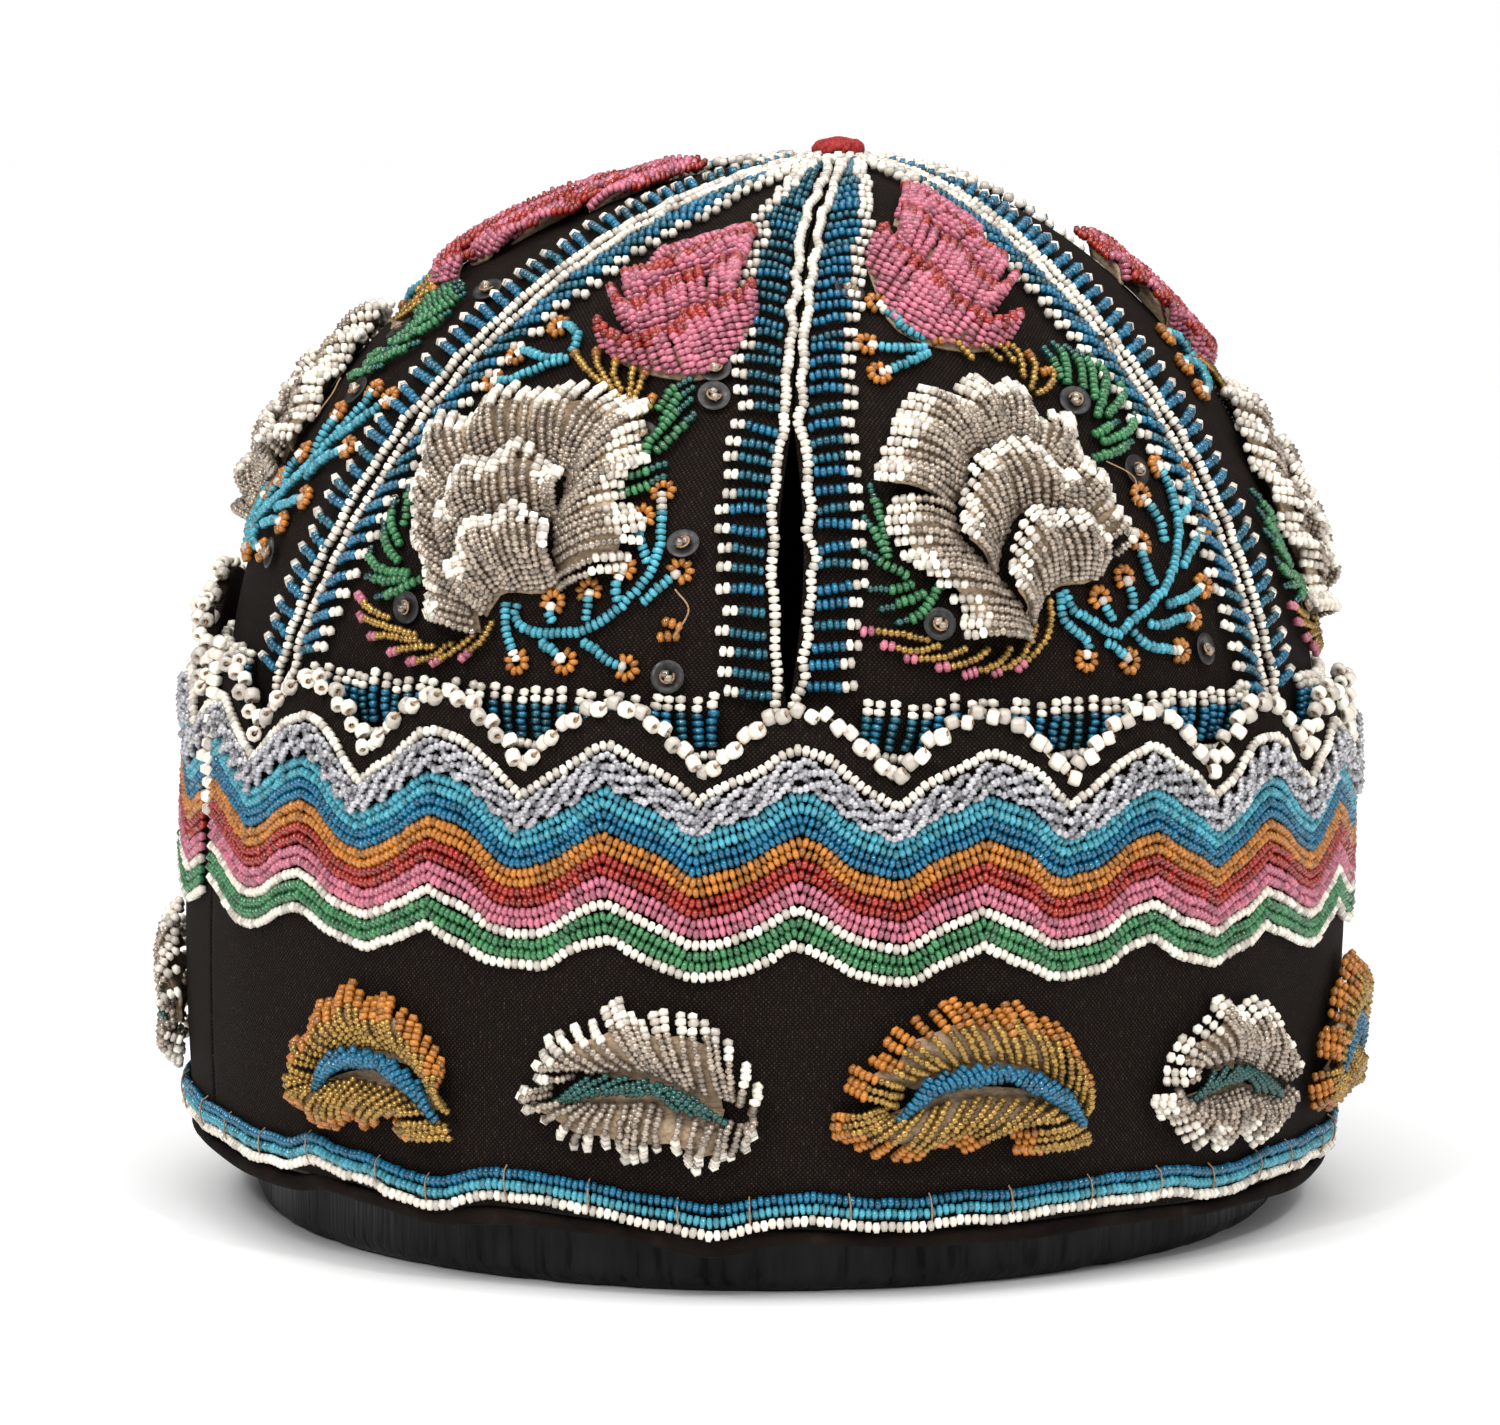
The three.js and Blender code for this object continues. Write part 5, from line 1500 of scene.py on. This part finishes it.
UPPER_GOLD = {
    "plain": [
        [(-7.5, 74), (-5.5, 76), (-1.5, 79), (4, 82)], [(-4, 73.5), (-2, 77), (2, 80.5)],
        [(0, 74), (1, 78), (3.5, 81)], [(2, 73), (4, 78), (5.5, 83)],
        [(5.5, 76.5), (6, 80), (6.5, 84.5)], [(8.5, 81), (9, 84), (6, 87.5)],
    ],
    "mirrored": [
        [(-7.5, 70), (-4, 70.5), (-2, 73.5)], [(-1.5, 69.5), (0, 71), (3, 73.5)],
        [(1.5, 69.5), (3.5, 71.5), (5, 74)], [(4, 70), (6, 72.5), (5.5, 77)],
        [(8, 72), (8, 75), (6, 79)], [(9, 76), (11, 75.5), (10, 78), (6.5, 80)],
    ],
}
LOWER_GOLD = {
    "plain": [
        [(-30, 116), (-25.5, 118), (-21.5, 119)], [(-28.5, 119), (-23, 120), (-15.5, 121)],
        [(-25, 122), (-20, 121.5), (-14, 122)], [(-20, 124), (-16, 123), (-11.5, 122.5)],
        [(-16, 125), (-11.5, 124), (-8.5, 121.5)], [(-11.5, 125), (-8, 123), (-5, 120)],
        [(-6.5, 124), (-3.5, 121), (-2.5, 118)],
    ],
    "mirrored": [
        [(-32.5, 117), (-27, 117.5), (-22.5, 118.5)], [(-30, 119), (-25, 120), (-21, 119)],
        [(-27, 121), (-21.5, 121), (-17, 119.5)], [(-22.5, 122.5), (-17, 121.5), (-13.5, 119.5)],
        [(-18.5, 123.5), (-13, 122), (-10, 119.5)], [(-14, 123.5), (-9, 121), (-5, 116)],
        [(-10, 123), (-4, 118), (-2, 112.5)],
    ],
}
LOOSE_ORANGE = {"plain": [[(23.5, 116.5), (26.5, 117.5)], [(23.5, 119), (26.5, 118.5)]], "mirrored": []}

spray_chance = np.random.default_rng(49)
for index in range(GORE_COUNT):
    kind = kind_of(index)
    for chart, colour, tip_colour, tips, lift in (
            (GREEN_STRINGS, "green", "teal", 3, 0.2 * MM), (UPPER_GOLD, "gold", "orange", 2, 0.3 * MM),
            (LOWER_GOLD, "gold", "pink", 2, 0.3 * MM), (LOOSE_ORANGE, "orange", "orange", 0, 0)):
        for stations in chart[kind]:
            points, outward = gore_line(index, stations[::-1], lift)
            tipped_string("sprays", points, outward, colour, tip_colour, tips, spray_chance)
bead_pieces("sprays")


# Dull grey sequins are scattered beside the seams. Each is a thin punched metal disc, held by a
# clear bead in its middle and a loop of tan thread.
SEQUINS = {
    "plain": [(7.5, 51), (14.5, 71.5), (15.5, 76), (17.5, 81), (9.5, 88), (22.5, 105), (26.5, 124.5), (-19, 117)],
    "mirrored": [(21, 93), (27, 121), (13.5, 81), (25, 71.5), (-20.5, 116), (-16.5, 59.5)],
}
SEQUIN_RADIUS = 2.5 * MM
SEQUIN_THICKNESS = 0.2 * MM
SEQUIN_SIDES = 18
# Section of a sequin from its hole to its edge: share of the radius, and height in thicknesses.
SEQUIN_SECTION = np.array([(0.16, 0.5), (0.75, 1.5), (0.97, 2.2), (1.0, 1.7), (0.97, 1.2), (0.16, -0.5)])


def sequin_part(middle, up, ahead):
    """A shallow dish: the section turned round the sequin's axis."""
    beside = np.cross(up, ahead)
    turn = (np.arange(SEQUIN_SIDES) * 2 * math.pi / SEQUIN_SIDES)[:, None, None]
    spoke = np.cos(turn) * ahead + np.sin(turn) * beside
    reach = SEQUIN_RADIUS * SEQUIN_SECTION[None, :, :1]
    height = SEQUIN_THICKNESS * SEQUIN_SECTION[None, :, 1:]
    points = middle + reach * spoke + height * up
    return points, grid_faces(SEQUIN_SIDES, len(SEQUIN_SECTION), wrap_columns=True, wrap_rows=True)[:, ::-1]


sequin_chance = np.random.default_rng(50)
sequin_parts = []
sequin_threads = []
for index in range(GORE_COUNT):
    for right, down in SEQUINS[kind_of(index)]:
        arc = (down - GORE_LIFTS[index]) * MM
        azimuth = gore_middle(index, arc) + right * MM / crown_radius(arc)
        middle = on_crown(azimuth, arc, 0.9 * MM)
        out = unit(on_crown(azimuth, arc, 2 * MM) - middle)
        up = unit(out + sequin_chance.normal(0, 0.12, 3))
        ahead = unit(np.cross(up, (sequin_chance.normal(), sequin_chance.normal(), 1)))
        beside = np.cross(up, ahead)
        sequin_parts.append(sequin_part(middle, up, ahead))
        centre = middle + 0.75 * MM * up + np.outer([-0.9, 0.9], ahead) * MM
        add_beads("sequin_middle", "rose",
                  thread_beads(centre, np.tile(up, (2, 1)), 0.9 * MM, 1.7 * MM, sequin_chance))
        turn = np.linspace(0.3, 4.6, 12)[:, None]
        loop = middle + 1.0 * MM * (np.cos(turn) * ahead + np.sin(turn) * beside)
        sequin_threads.append(tube_part(loop + (0.5 + 0.5 * np.sin(turn / 1.5)) * MM * up, np.tile(up, (12, 1)),
                                        THREAD_RADIUS))
sequins = new_object("sequins", join_mesh("sequins", sequin_parts))
sequin_metal, metal_tree, metal_shader, tarnish = fibrous(
    "dull_sequin_metal", (0.05, 0.05, 0.05), 0.42, (900, 5, (1, 1, 1)),
    [(0.3, (0.018, 0.018, 0.018)), (0.7, (0.055, 0.053, 0.05))], 0.06 * MM, Metallic=0.5)
metal_tree.links.new(ramp(metal_tree, tarnish, [(0.3, 0.6), (0.7, 0.28)]), metal_shader.inputs["Roughness"])
sequins.data.materials.append(sequin_metal)
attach(sequins, "root")
thread_piece("sequin_threads", sequin_threads)
bead_pieces("sequin_middle")


# A knot of red wool closes the crown where the six gores meet: turns of soft yarn pulled down
# through the cloth into a flat lump.
KNOT_LEAST, KNOT_MOST = (np.array(corner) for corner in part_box("top_knot"))
YARN_RADIUS = 0.62 * MM
YARN_TURNS = 15
YARN_STEPS = 40

knot_chance = np.random.default_rng(51)
knot_middle = (KNOT_LEAST + KNOT_MOST) / 2
knot_half = (KNOT_MOST - KNOT_LEAST) / 2 - YARN_RADIUS
yarn = []
for number in range(YARN_TURNS):
    turn = np.linspace(0, 2 * math.pi, YARN_STEPS, endpoint=False)[:, None]
    axis = unit(knot_chance.normal(0, (1, 1, 1.1), 3))
    first = unit(np.cross(axis, (0.3, 0.2, 1)))
    second = np.cross(axis, first)
    size = 1 - 0.28 * number / YARN_TURNS
    sphere = np.cos(turn) * first + np.sin(turn) * second
    kink = 1 + 0.05 * np.cos(5 * turn + number)
    line = knot_middle + knot_half * size * sphere * kink
    yarn.append(tube_part(line, sphere, YARN_RADIUS, sides=8, closed=True))
knot = new_object("red_knot", join_mesh("red_knot", yarn))
wool = fibrous("red_wool", (0.33, 0.016, 0.018), 0.95, (2600, 4, (1, 1, 0.5)),
               [(0.3, (0.16, 0.006, 0.008)), (0.72, (0.48, 0.04, 0.035))], 0.25 * MM)[0]
knot.data.materials.append(wool)
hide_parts("top_knot")
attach(knot, "root")


# Tan sewing thread shows where it couches the rim's rows down, and a few ends stand loose from the
# crown.
COUCHING_COUNT = 46
COUCHING_TOP = 18.3 * MM
COUCHING_FOOT = 12.8 * MM
LOOSE_RADIUS = 0.8 * THREAD_RADIUS
LOOSE_ENDS = {
    "plain": [[(5, 82), (8, 86), (8.5, 91), (11, 96)], [(-12, 92), (-15, 96), (-13, 100)],
              [(24, 112), (27, 115), (26, 119)]],
    "mirrored": [[(-8, 108), (-6, 112), (-8, 116)], [(14, 92), (18, 95), (17, 99)]],
}

thread_chance = np.random.default_rng(52)
threads = []
for azimuth in np.linspace(0, 2 * math.pi, COUCHING_COUNT, endpoint=False):
    azimuth = azimuth + thread_chance.normal(0, 0.02)
    share = np.linspace(0, 1, 9)
    drop = 0.4 * dip_at(azimuth) + rim_drop(azimuth)
    level = COUCHING_TOP + (COUCHING_FOOT - COUCHING_TOP) * share - drop
    out = 0.3 * MM + 1.5 * MM * np.sin(math.pi * share) ** 0.4
    points, outward = band_line(azimuth + 0.004 * share, level, out)
    threads.append(tube_part(points, outward, LOOSE_RADIUS))
for index in range(GORE_COUNT):
    for stations in LOOSE_ENDS[kind_of(index)]:
        points, outward = gore_line(index, stations, 1.5 * MM)
        threads.append(tube_part(points, outward, LOOSE_RADIUS))
thread_piece("loose_threads", threads)
